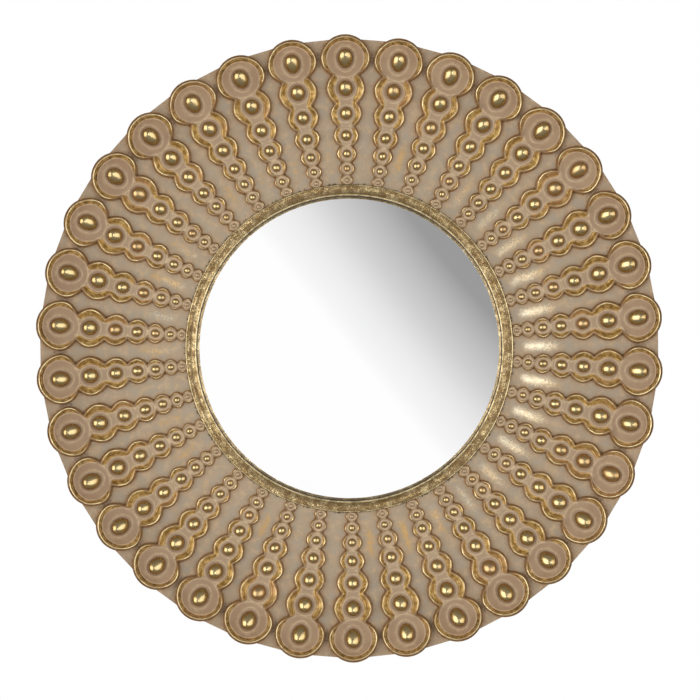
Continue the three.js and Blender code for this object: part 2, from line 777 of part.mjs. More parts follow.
add("frame_casting", frameCasting(), gilt);
add("sight_ring", sightRing(), goldLeaf);
add("convex_glass", convexGlass(), silvered);
add("glass_seal", glassSeal(), felt);
add("cushion_ring", cushionRing(), foam);
add("back_board", backBoard(), fibreboard);
boardScrewPlaces().forEach((place, i) => {
  add(`back_screw_${i + 1}`, screw(hubBack, ledgeFace + SCREW_BITE), zincPlate, place);
});
add("hanger_strap", hangerStrap(), zincPlate);
strapScrewPlaces().forEach((place, i) => {
  add(`hanger_screw_${i + 1}`, screw(strapBack, hubBack + SCREW_BITE), zincPlate, place);
});
add("hanger_ring", hangerRing(), zincPlate);
BUMPER_ANGLES.forEach((degrees, i) => {
  add(`wall_bumper_${i + 1}`, wallBumper(), rubber, polar(THREE.MathUtils.degToRad(degrees), hubMiddle));
});

export default model;
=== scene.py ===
"""Looks of a round wall mirror: a convex glass in a dished frame of radiating rows of discs and domes.

Sizes in the classes are millimetres. Depth is measured from the wall towards the room, as in the CAD part.
A place seen from the front is given by its angle clockwise from the top and its radius.
"""

from __future__ import annotations

import logging
import math
from dataclasses import dataclass, field
from enum import Enum
from typing import Protocol, Sequence

import bmesh
import bpy
import numpy as np
from mathutils import Matrix, Vector
from mathutils.geometry import delaunay_2d_cdt

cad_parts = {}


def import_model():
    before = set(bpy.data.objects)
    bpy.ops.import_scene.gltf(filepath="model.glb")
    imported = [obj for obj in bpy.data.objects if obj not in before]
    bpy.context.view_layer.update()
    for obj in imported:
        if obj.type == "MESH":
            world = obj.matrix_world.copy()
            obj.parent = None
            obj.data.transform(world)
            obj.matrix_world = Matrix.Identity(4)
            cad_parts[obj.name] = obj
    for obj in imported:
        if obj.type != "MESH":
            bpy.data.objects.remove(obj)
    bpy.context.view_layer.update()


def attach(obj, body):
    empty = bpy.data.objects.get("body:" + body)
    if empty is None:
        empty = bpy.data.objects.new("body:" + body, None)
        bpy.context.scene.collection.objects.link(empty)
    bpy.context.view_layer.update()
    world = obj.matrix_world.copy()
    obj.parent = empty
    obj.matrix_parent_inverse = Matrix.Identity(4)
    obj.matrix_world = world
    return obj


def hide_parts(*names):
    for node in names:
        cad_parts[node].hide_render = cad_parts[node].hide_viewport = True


LOG = logging.getLogger("wall_mirror")
MM = 0.001
SEED = 34
WELD = 2e-6
MARKS = (
    *("crest", "slope", "foot", "edge", "dome", "halo", "ground", "crevice"),
    *("reach", "gilt", "glint", "chance", "back"),
)

Place = tuple[float, float]
Corner = tuple[float, float, float]
Law = tuple[float, float]
Colour = tuple[float, float, float, float]
Socket = bpy.types.NodeSocket
Sockets = dict[str, Socket]


class Body(str, Enum):
    """The CAD bodies that pieces ride on."""

    MIRROR = "mirror"
    HANGING_RING = "hanging_ring"


class Slot(str, Enum):
    """The record's material slots."""

    GILT_WASH = "gilt_wash"
    GOLD_LEAF = "gold_leaf"
    MIRROR_GLASS = "mirror_glass"
    FELT = "felt"
    FOAM = "foam"
    FIBREBOARD = "fibreboard"
    ZINC_STEEL = "zinc_steel"
    RUBBER = "rubber"


# ---------------------------------------------------------------- small maths


def smoothstep(low: float, high: float, value: np.ndarray) -> np.ndarray:
    """Eases from 0 at low to 1 at high."""
    share = np.clip((value - low) / (high - low), 0.0, 1.0)
    return share * share * (3.0 - 2.0 * share)


def bell(value: np.ndarray, middle: float | np.ndarray, width: float | np.ndarray) -> np.ndarray:
    """Rises to 1 at the middle and falls off on both sides over the width."""
    return np.exp(-(((value - middle) / width) ** 2))


def srgb(red: int, green: int, blue: int) -> Colour:
    """Turns a colour as seen on a screen into the linear colour that a shader takes.

    Args:
        red: 0 to 255, as are green and blue.
        green: See red.
        blue: See red.

    Returns:
        Linear red, green, blue and an alpha of 1.
    """

    def linear(value: int) -> float:
        share = value / 255
        return share / 12.92 if share <= 0.04045 else ((share + 0.055) / 1.055) ** 2.4

    return (linear(red), linear(green), linear(blue), 1.0)


class Wobble:
    """A smooth random field over the front of the mirror, made of a few crossed waves."""

    def __init__(self, seed: int, wavelength: float, waves: int = 9) -> None:
        """Draws the waves.

        Args:
            seed: Seed of the draws.
            wavelength: Typical distance between crests, in millimetres.
            waves: Number of waves that are added up.
        """
        random = np.random.default_rng(seed)
        turns = random.uniform(0, 2 * math.pi, waves)
        lengths = wavelength * random.uniform(0.7, 1.6, waves)
        self._kx = 2 * math.pi * np.cos(turns) / lengths
        self._ky = 2 * math.pi * np.sin(turns) / lengths
        self._phases = random.uniform(0, 2 * math.pi, waves)

    def at(self, x: np.ndarray, y: np.ndarray) -> np.ndarray:
        """The field's value at each place, mostly between -1 and 1."""
        angles = np.outer(x, self._kx) + np.outer(y, self._ky) + self._phases
        return np.sin(angles).sum(axis=1) / math.sqrt(len(self._phases))


# ---------------------------------------------------------------- node graphs


class Graph:
    """Builds the nodes of one material, lamp or world with short calls."""

    def __init__(self, owner: bpy.types.Material | bpy.types.Light | bpy.types.World) -> None:
        """Starts on the owner's own node tree.

        Args:
            owner: What the nodes belong to.
        """
        self.owner = owner
        owner.use_nodes = True
        self.nodes = owner.node_tree.nodes
        self.links = owner.node_tree.links

    @classmethod
    def of_material(cls, name: str) -> "Graph":
        """Starts a new material, which has a Principled shader."""
        return cls(bpy.data.materials.new(name))

    def add(self, kind: str, settings: dict | None = None, **inputs: object) -> bpy.types.Node:
        """Adds a node.

        Args:
            kind: Blender's name of the node type, without its ShaderNode prefix.
            settings: Node properties to set.
            **inputs: Input sockets by name, with _ for a space. A socket value is linked.

        Returns:
            The new node.
        """
        node = self.nodes.new("ShaderNode" + kind)
        for key, value in (settings or {}).items():
            setattr(node, key, value)
        for key, value in inputs.items():
            self.put(node.inputs[key.replace("_", " ")], value)
        return node

    def put(self, socket: Socket, value: object) -> None:
        """Links or sets one input socket."""
        if isinstance(value, bpy.types.NodeSocket):
            self.links.new(value, socket)
        else:
            socket.default_value = value

    def math(self, operation: str, *values: object) -> Socket:
        """Adds a Math node, or a chain of them for more than two numbers.

        Args:
            operation: Blender's name of the operation.
            *values: The numbers.

        Returns:
            The result.
        """
        node = self.nodes.new("ShaderNodeMath")
        node.operation = operation
        for socket, value in zip(node.inputs, values[:2]):
            self.put(socket, value)
        return self.math(operation, node.outputs[0], *values[2:]) if len(values) > 2 else node.outputs[0]

    def times(self, *values: object) -> Socket:
        """Multiplies numbers."""
        return self.math("MULTIPLY", *values)

    def plus(self, *values: object) -> Socket:
        """Adds numbers up."""
        return self.math("ADD", *values)

    def less(self, first: object, second: object) -> Socket:
        """Takes the second number from the first."""
        return self.math("SUBTRACT", first, second)

    def most(self, *values: object) -> Socket:
        """Keeps the largest number."""
        return self.math("MAXIMUM", *values)

    def mix(self, share: object, first: object, second: object) -> Socket:
        """Mixes two colours by a share and gives back the result."""
        node = self.nodes.new("ShaderNodeMix")
        node.data_type = "RGBA"
        self.put(node.inputs["Factor"], share)
        self.put(node.inputs["A"], first)
        self.put(node.inputs["B"], second)
        return node.outputs["Result"]

    def attribute(self, name: str) -> Socket:
        """Reads a number that the mesh holds at each corner."""
        return self.add("Attribute", {"attribute_name": name}).outputs["Fac"]

    def place(self) -> Socket:
        """The place on the object, in metres."""
        return self.add("TexCoord").outputs["Object"]

    def noise(self, scale: float, detail: float = 3.0, roughness: float = 0.55, **more: object) -> Socket:
        """Noise over the object.

        Args:
            scale: Repeats per metre.
            detail: Octaves.
            roughness: Strength of the finer octaves.
            **more: Further input sockets.

        Returns:
            A number round 0.5.
        """
        node = self.add("TexNoise", Scale=scale, Detail=detail, Roughness=roughness, **more)
        if not node.inputs["Vector"].is_linked:
            self.put(node.inputs["Vector"], self.place())
        return node.outputs["Fac"]

    def window(
        self, value: object, low: float, high: float, to_low: float = 0.0, to_high: float = 1.0
    ) -> Socket:
        """Maps a range of a number smoothly to another range.

        Args:
            value: The number.
            low: Where the range starts. It may lie above its end.
            high: Where the range ends.
            to_low: Result at its start.
            to_high: Result at its end.

        Returns:
            The mapped number.
        """
        node = self.nodes.new("ShaderNodeMapRange")
        node.interpolation_type = "SMOOTHSTEP"
        names = ("Value", "From Min", "From Max", "To Min", "To Max")
        for name, number in zip(names, (value, low, high, to_low, to_high)):
            self.put(node.inputs[name], number)
        return node.outputs["Result"]

    def ramp(self, value: object, stops: Sequence[tuple[float, Colour]]) -> Socket:
        """Colours a number by a row of stops.

        Args:
            value: The number, from 0 to 1.
            stops: Position and colour of each stop.

        Returns:
            The colour.
        """
        node = self.nodes.new("ShaderNodeValToRGB")
        elements = node.color_ramp.elements
        while len(elements) < len(stops):
            elements.new(1.0)
        for element, (position, colour) in zip(elements, stops):
            element.position = position
            element.color = colour
        self.put(node.inputs["Fac"], value)
        return node.outputs["Color"]

    def bump(self, height: object, depth: float, strength: float = 1.0, under: object = None) -> Socket:
        """Turns a height between 0 and 1 into a normal.

        Args:
            height: The height.
            depth: Height of 1, in metres.
            strength: Share of the effect that is kept.
            under: A normal that this one is laid over.

        Returns:
            The new normal.
        """
        node = self.add("Bump", Strength=strength, Distance=depth, Height=height)
        if under is not None:
            self.put(node.inputs["Normal"], under)
        return node.outputs["Normal"]

    def surface(self, **inputs: object) -> bpy.types.Material:
        """Sets the shader's sockets and gives back the finished material."""
        for key, value in inputs.items():
            self.put(self.nodes["Principled BSDF"].inputs[key.replace("_", " ")], value)
        return self.owner


class Finish(Protocol):
    """A finish makes its material when it is asked to."""

    def make(self) -> bpy.types.Material:
        """Builds the material."""


@dataclass(frozen=True)
class GiltWash:
    """Gilding under a greyish taupe wash that is rubbed back to gold on rims and domes."""

    wash_inner: Colour = srgb(162, 139, 112)
    wash_middle: Colour = srgb(166, 142, 115)
    wash_outer: Colour = srgb(149, 118, 89)
    wash_light: Colour = srgb(184, 158, 126)
    ground: Colour = srgb(166, 148, 124)
    line: Colour = srgb(206, 180, 144)
    # Foot band colour, also laid on the ground beside each disc as painted shade.
    foot: Colour = srgb(140, 100, 50)
    gold: Colour = srgb(207, 170, 102)
    # Pale gold: rubbed crests, and a painted highlight on the domes' tops.
    pale_gold_and_painted_dome_highlight: Colour = srgb(250, 230, 178)
    orange: Colour = srgb(204, 160, 92)
    rose: Colour = srgb(184, 140, 98)
    mist: Colour = srgb(158, 149, 134)
    # Near-white painted glint on the burnished ground.
    painted_glint_white: Colour = srgb(254, 240, 208)
    # Olive: the slopes' own rubbed colour, and painted shade at the domes' feet.
    olive_and_painted_dome_shade: Colour = srgb(146, 112, 54)
    brass: Colour = srgb(184, 157, 106)
    # Umber: real specks, and the painted shade round the domes and in the crevices.
    umber_and_painted_shade: Colour = srgb(64, 40, 19)
    back: Colour = srgb(58, 47, 38)
    gloss: float = 0.32

    def make(self) -> bpy.types.Material:
        """Builds the material. The mesh says where crests, slopes, plates and domes are, and where shade and a
        glint are painted into the colour.
        """
        g = Graph.of_material("gilt_wash")
        m = {name: g.attribute(name) for name in MARKS}
        m["cloud"], m["grain"], m["fleck"] = g.noise(38, 4, 0.6), g.noise(420, 3, 0.6), g.noise(900, 2, 0.5)
        m["patch"], m["grit"] = g.less(g.noise(160, 4, 0.65), 0.5), g.less(m["grain"], 0.5)
        on = self._shares(g, m)
        metal = g.most(
            g.times(on["slope"], 0.6),
            g.times(on["crest"], 0.8),
            on["dome"],
            g.times(on["foot"], 0.35),
            g.times(on["streak"], 0.6),
            g.times(on["burnish_and_painted_glint_share"], 0.7),
        )
        smooth = g.most(
            g.times(on["slope"], 0.14),
            g.times(on["crest"], 0.26),
            g.times(on["dome"], g.window(m["chance"], 0.75, 1.0, 0.29, 0.22)),
            g.times(on["burnish_and_painted_glint_share"], 0.25),
        )
        dull = g.times(g.most(m["back"], on["grime_and_painted_shade"]), 0.25)
        normal = g.bump(g.noise(260, 4, 0.6), 0.0004, 0.35)
        return g.surface(
            Base_Color=self._colour(g, m, on),
            Metallic=g.times(metal, g.less(1.0, m["back"]), g.less(1.0, on["grime_and_painted_shade"])),
            Roughness=g.plus(g.less(0.55, smooth), g.times(m["grit"], 0.14), dull),
            Normal=g.bump(m["fleck"], 0.00018, 0.3, normal),
            Specular_IOR_Level=self.gloss,
        )

    def _shares(self, g: Graph, m: Sockets) -> Sockets:
        """How far each layer covers the surface, where the noises break up the mesh's marks.

        Args:
            g: The material's graph.
            m: The marks and noises by name.

        Returns:
            A share for each layer by name.
        """
        patch, ground, reach, grit = m["patch"], m["ground"], m["reach"], m["grit"]
        worn = g.times(g.plus(patch, g.times(grit, 0.6)), 2.0)
        streak = g.window(g.plus(m["gilt"], worn), 0.1, 1.2)
        crest = g.window(g.plus(m["crest"], g.times(patch, 0.7)), 0.4, 0.75)
        leafy = g.plus(grit, g.times(g.less(m["fleck"], 0.5), 1.5), g.times(patch, 0.35))
        # The glint mark drives real burnish (metal, smoothness) and a painted near-white glint in the colour, most
        # of it on the right.
        burnish_and_painted_glint_share = g.window(g.plus(m["glint"], leafy), 0.1, 1.25)
        grown = g.window(reach, 0.04, 0.09, 0.35, 1.0)
        # Random grime together with the painted shade of the crevices.
        grime_and_painted_shade = g.plus(g.times(m["crevice"], 1.1), g.times(grit, 0.9))
        return {
            "foot": g.times(m["foot"], g.window(patch, -0.12, 0.1, 0.55, 0.95)),
            "slope": g.window(g.plus(m["slope"], g.times(patch, 1.3)), 0.35, 0.75),
            "streak": g.times(streak, ground, g.window(m["gilt"], 0.02, 0.25)),
            "crest": g.times(crest, g.window(g.noise(55, 3), 0.36, 0.58, 0.35, 1.0)),
            "halo": g.times(m["halo"], grown, g.window(m["grain"], 0.25, 0.6, 0.14, 0.42)),
            "dome": g.times(g.window(m["dome"], 0.05, 0.3), g.window(reach, 0.04, 0.09, 0.6, 1.0)),
            "burnish_and_painted_glint_share": g.times(burnish_and_painted_glint_share, g.window(m["glint"], 0.02, 0.35), ground),
            "grime_and_painted_shade": g.window(grime_and_painted_shade, 0.25, 1.0),
        }

    def _washed(self, g: Graph, m: Sockets) -> Socket:
        """The wash: clouded, misty between the rows, and light along the plates' edges."""
        wash = g.ramp(m["reach"], [(0.0, self.wash_inner), (0.45, self.wash_middle), (1.0, self.wash_outer)])
        wash = g.mix(g.times(m["ground"], 0.7), wash, self.ground)
        lighter = g.plus(m["cloud"], g.times(g.less(m["chance"], 0.5), 0.16))
        colour = g.mix(g.window(lighter, 0.35, 0.7, 0.0, 0.3), wash, self.wash_light)
        misty = g.times(m["ground"], g.window(g.noise(62, 2), 0.4, 0.65, 0.0, 0.55))
        colour = g.mix(g.times(misty, g.window(m["reach"], 0.7, 1.0, 1.0, 0.2)), colour, self.mist)
        mottled = g.times(m["ground"], g.window(g.noise(95, 5, 0.7), 0.47, 0.66, 0.0, 0.95))
        colour = g.mix(mottled, colour, self.wash_light)
        return g.mix(g.times(m["edge"], g.window(m["patch"], -0.12, 0.1, 0.4, 0.85)), colour, self.line)

    def _dome_colour_with_painted_shading(self, g: Graph, m: Sockets) -> Socket:
        """The domes' colour: olive at the foot as painted shade, brass above with a pale painted highlight at the
        top, rosy here and there, and still washed next to the glass.
        """
        # Painted shade at the dome's foot and a painted highlight at its top.
        colour = g.mix(g.window(m["dome"], 0.0, 0.55), self.olive_and_painted_dome_shade, self.brass)
        colour = g.mix(g.window(m["dome"], 0.7, 1.0, 0.0, 0.35), colour, self.pale_gold_and_painted_dome_highlight)
        colour = g.mix(g.window(m["chance"], 0.84, 1.0, 0.0, 0.5), colour, self.rose)
        return g.mix(g.window(m["reach"], 0.04, 0.09, 1.0, 0.0), colour, self.wash_light)

    def _colour(self, g: Graph, m: Sockets, on: Sockets) -> Socket:
        """Lays the layers over the wash, from thin gold on the bands up to grime with painted crevice shade and the
        dark back.

        Args:
            g: The material's graph.
            m: The marks and noises by name.
            on: The layers' shares by name.

        Returns:
            The surface's colour.
        """
        rubbed = g.mix(g.window(m["patch"], -0.12, 0.12), self.olive_and_painted_dome_shade, self.gold)
        rosy = g.window(g.plus(m["cloud"], g.times(m["chance"], 0.3)), 0.62, 0.9, 0.0, 0.6)
        specks = g.times(g.window(m["fleck"], 0.66, 0.74), g.window(g.noise(70, 2), 0.45, 0.65))
        colour = self._washed(g, m)
        for share, layer in (
            # Foot band, running on as painted shade over the ground beside the discs.
            (on["foot"], self.foot),
            (g.times(on["slope"], 0.95), g.mix(rosy, rubbed, self.rose)),
            (g.times(on["streak"], 0.75), self.orange),
            (on["crest"], self.pale_gold_and_painted_dome_highlight),
            # Umber painted as shade round each dome's foot.
            (on["halo"], self.umber_and_painted_shade),
            (on["dome"], self._dome_colour_with_painted_shading(g, m)),
            # Painted glint: near-white on the burnished ground.
            (g.times(on["burnish_and_painted_glint_share"], 0.85), self.painted_glint_white),
            # Grime and painted crevice shade.
            (g.times(on["grime_and_painted_shade"], 0.85), self.umber_and_painted_shade),
            (g.times(specks, 0.5), self.umber_and_painted_shade),
            (g.times(m["back"], g.window(m["grain"], 0.2, 0.5, 0.9, 1.0)), self.back),
        ):
            colour = g.mix(share, colour, layer)
        return colour


@dataclass(frozen=True)
class GoldLeaf:
    """Gold leaf with brown speckle, worn along its raised edges."""

    leaf: Colour = srgb(136, 109, 66)
    bright: Colour = srgb(246, 224, 172)
    bole: Colour = srgb(78, 50, 26)

    def make(self) -> bpy.types.Material:
        """Builds the material. The mesh says where the raised edges are."""
        g = Graph.of_material("gold_leaf")
        patch = g.noise(90, 4, 0.65)
        edge = g.times(g.attribute("crest"), g.window(g.noise(140, 3), 0.36, 0.62, 0.25, 1.0))
        fine = g.plus(g.times(patch, 0.8), g.noise(1100, 3, 0.7), g.times(edge, 0.3))
        mottle = g.times(g.less(g.noise(170, 4, 0.75), 0.5), 1.1)
        speck = g.window(g.plus(g.noise(820, 3, 0.7), mottle), 0.42, 0.62)
        speck = g.times(speck, g.less(1.0, g.times(edge, 0.6)))
        colour = g.mix(g.window(fine, 0.84, 1.16), self.leaf, self.bright)
        colour = g.mix(g.times(speck, 0.5), colour, self.bole)
        normal = g.bump(g.noise(110, 2, 0.5), 0.0006, 0.4)
        return g.surface(
            Base_Color=g.mix(g.times(edge, 0.85), colour, self.bright),
            Metallic=g.times(g.less(1.0, g.times(speck, 0.4)), 0.75),
            Roughness=g.plus(0.27, g.times(speck, 0.25)),
            Normal=g.bump(g.noise(430, 4, 0.7), 0.0002, 0.35, normal),
        )


@dataclass(frozen=True)
class Silvering:
    """Polished glass over silvering, with a trace of unevenness."""

    tint: Colour = srgb(252, 252, 252)

    def make(self) -> bpy.types.Material:
        """Builds the material."""
        g = Graph.of_material("mirror_glass")
        haze = g.noise(9, 3)
        rough = g.window(haze, 0.3, 0.8, 0.012, 0.03)
        colour = g.mix(g.window(haze, 0.4, 0.8, 0.0, 0.35), self.tint, srgb(249, 250, 250))
        normal = g.bump(g.noise(14, 1), 0.0004, 0.05)
        return g.surface(Base_Color=colour, Metallic=1.0, Roughness=rough, Normal=normal)


@dataclass(frozen=True)
class Felt:
    """Thin black felt with short fibres."""

    dark: Colour = srgb(32, 30, 28)
    light: Colour = srgb(70, 66, 62)

    def make(self) -> bpy.types.Material:
        """Builds the material."""
        g = Graph.of_material("felt")
        fibre = g.noise(2600, 3, 0.7, Distortion=1.5)
        colour = g.mix(g.window(fibre, 0.4, 0.75), self.dark, self.light)
        normal = g.bump(fibre, 0.0003, 0.8)
        return g.surface(Base_Color=colour, Roughness=0.95, Sheen_Weight=0.4, Normal=normal)


@dataclass(frozen=True)
class Foam:
    """Grey foam with open cells, their pores darkened in colour as painted shade."""

    wall: Colour = srgb(104, 104, 107)
    cell: Colour = srgb(44, 44, 47)

    def make(self) -> bpy.types.Material:
        """Builds the material."""
        g = Graph.of_material("foam")
        cells = g.add("TexVoronoi", Scale=1400.0, Vector=g.place()).outputs["Distance"]
        share = g.window(cells, 0.15, 0.55)
        # The pores' darker colour is painted shade in the open cells.
        colour = g.mix(share, self.cell, self.wall)
        normal = g.bump(share, 0.0004, 0.9)
        return g.surface(Base_Color=colour, Roughness=0.9, Normal=normal)


@dataclass(frozen=True)
class Fibreboard:
    """Brown fibreboard: a smooth face of pressed fibres with darker chips."""

    face: Colour = srgb(150, 117, 84)
    pale: Colour = srgb(176, 144, 108)
    chip: Colour = srgb(104, 76, 50)

    def make(self) -> bpy.types.Material:
        """Builds the material."""
        g = Graph.of_material("fibreboard")
        fibre = g.noise(340, 6, 0.75, Distortion=2.2)
        cloud = g.noise(11, 3)
        colour = g.mix(g.window(fibre, 0.35, 0.7), self.face, self.pale)
        chips = g.add("TexVoronoi", Scale=420.0, Vector=g.place()).outputs["Distance"]
        colour = g.mix(g.window(chips, 0.16, 0.05, 0.0, 0.5), colour, self.chip)
        colour = g.mix(g.window(cloud, 0.4, 0.75, 0.0, 0.25), colour, self.chip)
        rough = g.window(fibre, 0.3, 0.7, 0.62, 0.8)
        normal = g.bump(fibre, 0.00025, 0.5)
        return g.surface(Base_Color=colour, Roughness=rough, Normal=normal)


@dataclass(frozen=True)
class ZincPlate:
    """Bright zinc plate on steel, faintly clouded and scratched."""

    zinc: Colour = srgb(196, 199, 203)
    cloud: Colour = srgb(166, 170, 178)

    def make(self) -> bpy.types.Material:
        """Builds the material."""
        g = Graph.of_material("zinc_plate")
        clouds = g.noise(240, 4, 0.6)
        stretch = g.add("Mapping", Vector=g.place(), Scale=(180.0, 180.0, 4000.0)).outputs["Vector"]
        brushed = g.noise(1.0, 4, 0.7, Vector=stretch)
        colour = g.mix(g.window(clouds, 0.35, 0.7), self.zinc, self.cloud)
        rough = g.plus(g.window(brushed, 0.3, 0.7, 0.22, 0.4), g.window(clouds, 0.3, 0.8, 0.0, 0.12))
        normal = g.bump(brushed, 0.00006, 0.6)
        return g.surface(Base_Color=colour, Metallic=1.0, Roughness=rough, Normal=normal)


@dataclass(frozen=True)
class BumperRubber:
    """Matt black rubber with a fine moulded grain and a little dust."""

    black: Colour = srgb(34, 34, 35)
    dust: Colour = srgb(92, 88, 84)

    def make(self) -> bpy.types.Material:
        """Builds the material."""
        g = Graph.of_material("bumper_rubber")
        grain = g.noise(1900, 3, 0.6)
        dusty = g.window(g.noise(160, 5, 0.7), 0.52, 0.75, 0.0, 0.3)
        colour = g.mix(dusty, self.black, self.dust)
        rough = g.window(grain, 0.3, 0.7, 0.6, 0.82)
        normal = g.bump(grain, 0.0002, 0.5)
        return g.surface(Base_Color=colour, Roughness=rough, Normal=normal)


# ---------------------------------------------------------------- meshes


@dataclass
class Shape:
    """Corners, faces and marks of a piece. A corner is its x, height z and depth from the wall, in mm."""

    corners: list[Corner] = field(default_factory=list)
    faces: list[tuple[int, ...]] = field(default_factory=list)
    marks: dict[str, list[float]] = field(default_factory=dict)

    def add_loop(self, points: Sequence[Corner], **marks: float) -> list[int]:
        """Adds corners, with the same marks for all of them, and gives back their indices."""
        first = len(self.corners)
        self.corners.extend(points)
        for name, value in marks.items():
            row = self.marks.setdefault(name, [])
            row.extend([0.0] * (first - len(row)))
            row.extend([value] * len(points))
        return list(range(first, first + len(points)))

    def bridge(self, first: Sequence[int], second: Sequence[int]) -> None:
        """Fills the strip between two closed loops. A loop of one corner is a tip."""
        count = max(len(first), len(second))
        for i in range(count):
            j = (i + 1) % count
            ends = (first[i % len(first)], first[j % len(first)], second[j % len(second)], second[i % len(second)])
            self.faces.append(tuple(dict.fromkeys(ends)))

    def skin(self, loops: Sequence[Sequence[int]], closed: bool = False) -> None:
        """Fills the strips between closed loops.

        Args:
            loops: The loops in order.
            closed: True if the last joins the first. Otherwise both ends are filled.
        """
        for first, second in zip(loops, loops[1:]):
            self.bridge(first, second)
        if closed:
            self.bridge(loops[-1], loops[0])
        else:
            self.faces.extend(tuple(end) for end in (loops[0], loops[-1]) if len(end) > 2)

    def to_mesh(self, name: str) -> bpy.types.Mesh:
        """Makes the Blender mesh, in metres in the row frame, with its faces turned outwards."""
        mesh = bpy.data.meshes.new(name)
        placed = [(x * MM, -depth * MM, z * MM) for x, z, depth in self.corners]
        mesh.from_pydata(placed, [], self.faces)
        for key, row in self.marks.items():
            values = np.zeros(len(placed), np.float32)
            values[: len(row)] = row
            mesh.attributes.new(key, "FLOAT", "POINT").data.foreach_set("value", values)
        work = bmesh.new()
        work.from_mesh(mesh)
        bmesh.ops.remove_doubles(work, verts=work.verts, dist=WELD)
        bmesh.ops.recalc_face_normals(work, faces=work.faces)
        work.to_mesh(mesh)
        work.free()
        mesh.validate()
        return mesh


def polar(angle: float, radius: float) -> Place:
    """The place at an angle clockwise from the top, and a radius."""
    return radius * math.sin(angle), radius * math.cos(angle)


def half_turn(steps: int) -> list[float]:
    """Angles from 0 to half a turn, in even steps."""
    return [math.pi * i / steps for i in range(steps + 1)]


def revolve(
    shape: Shape,
    profile: Sequence[tuple[float, ...]],
    segments: int,
    closed: bool = False,
    middle: Place = (0.0, 0.0),
) -> None:
    """Turns a profile round an axis that stands out from the wall.

    Args:
        shape: Where the faces go.
        profile: Radius and depth of each point, and its edge wear where it has some. A radius of 0 is a tip.
        segments: Number of steps round.
        closed: True if the profile's end joins its start.
        middle: Where the axis is, seen from the front.
    """
    loops: list[list[int]] = []
    for radius, depth, *wear in profile:
        flat = [polar(2 * math.pi * i / segments, radius) for i in range(segments if radius > 0 else 1)]
        points = [(middle[0] + x, middle[1] + z, depth) for x, z in flat]
        loops.append(shape.add_loop(points, **({"crest": wear[0]} if wear else {})))
    shape.skin(loops, closed)


def rounded(corners: Sequence[Place], rounding: float, steps: int = 4) -> list[Place]:
    """Rounds the corners of a closed profile.

    Args:
        corners: Radius and depth of each corner.
        rounding: How far from a corner its rounding starts.
        steps: Straight stretches per rounding.

    Returns:
        Radius and depth of each point.
    """
    result: list[Place] = []
    for i, corner in enumerate(corners):
        here = Vector(corner)
        start = here + (Vector(corners[i - 1]) - here).normalized() * rounding
        end = here + (Vector(corners[(i + 1) % len(corners)]) - here).normalized() * rounding
        for j in range(steps + 1):
            t = j / steps
            point = start * (1 - t) ** 2 + here * 2 * t * (1 - t) + end * t**2
            result.append((point.x, point.y))
    return result


def place_piece(
    name: str,
    mesh: bpy.types.Mesh,
    material: bpy.types.Material,
    node: str,
    sharp: float | None = None,
    body: Body = Body.MIRROR,
) -> bpy.types.Object:
    """Puts a finished mesh in the scene on its CAD body.

    Args:
        name: Name of the piece.
        mesh: Its mesh, in the row frame.
        material: Its material.
        node: CAD node that it stands for.
        sharp: Degrees between faces from which their edge stays sharp. None rounds all edges.
        body: CAD body that it rides on.

    Returns:
        The new object.
    """
    mesh.materials.clear()
    mesh.materials.append(material)
    mesh.shade_smooth()
    if sharp is not None:
        mesh.set_sharp_from_angle(angle=math.radians(sharp))
    piece = bpy.data.objects.new(name, mesh)
    bpy.context.scene.collection.objects.link(piece)
    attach(piece, body.value)
    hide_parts(node)
    LOG.info("%s: %d corners, %d faces", name, len(mesh.vertices), len(mesh.polygons))
    return piece


# ---------------------------------------------------------------- the frame


@dataclass(frozen=True)
class Disc:
    """One disc of a row: its outline at the foot, and its dome."""

    centre: float
    half_width: float
    outward: float
    inward: float
    dome_width: float
    dome_out: float
    dome_in: float
    dome_centre: float
    plate: float
    plate_out: float

    def inset(self, across: np.ndarray, along: np.ndarray) -> np.ndarray:
        """How far a place lies inside the outline, in mm. Outside it is below zero."""
        off = along - self.centre
        reach = np.where(off > 0, self.outward, self.inward)
        distance = np.maximum(np.hypot(across, off), 1e-6)
        inset = np.zeros_like(distance)
        for _ in range(5):
            wide = np.maximum(self.half_width - inset, 0.5)
            long = np.maximum(reach - inset, 0.5)
            share = np.sqrt((across / wide) ** 2 + (off / long) ** 2)
            inset = inset + (1 - share) * distance / np.maximum(share, 0.05)
            inset = np.clip(inset, -60.0, 0.7 * np.minimum(self.half_width, reach))
        return inset

    def dome_share(self, across: np.ndarray, along: np.ndarray) -> np.ndarray:
        """Distance from the dome's middle, as a share of the dome's own half length that way."""
        off = along - self.dome_centre
        length = np.where(off > 0, self.dome_out, self.dome_in)
        return np.sqrt((across / self.dome_width) ** 2 + (off / length) ** 2)

    def plate_inset(self, across: np.ndarray, along: np.ndarray) -> np.ndarray:
        """How far a place lies inside the round plate that the dome stands on, in mm."""
        off = along - self.dome_centre
        return self.plate - np.hypot(across, np.where(off > 0, off / self.plate_out, off))

    def plate_point(self, angle: float, inset: float) -> Place:
        """Point of the plate's edge drawn in by an inset. Angle 0 points outwards."""
        radius = self.plate - inset
        squeeze = self.plate_out if angle < math.pi / 2 else 1.0
        return radius * math.sin(angle), self.dome_centre + squeeze * radius * math.cos(angle)

    def outline_point(self, angle: float, inset: float) -> Place:
        """Point of the outline drawn in by an inset. Angle 0 is its outermost point and pi its innermost."""
        reach = self.outward if angle < math.pi / 2 else self.inward
        return (self.half_width - inset) * math.sin(angle), self.centre + (reach - inset) * math.cos(angle)

    def dome_point(self, angle: float, share: float) -> Place:
        """Point of the dome's plan at a share of its size. Angle 0 points outwards."""
        length = self.dome_out if angle < math.pi / 2 else self.dome_in
        return share * self.dome_width * math.sin(angle), self.dome_centre + share * length * math.cos(angle)


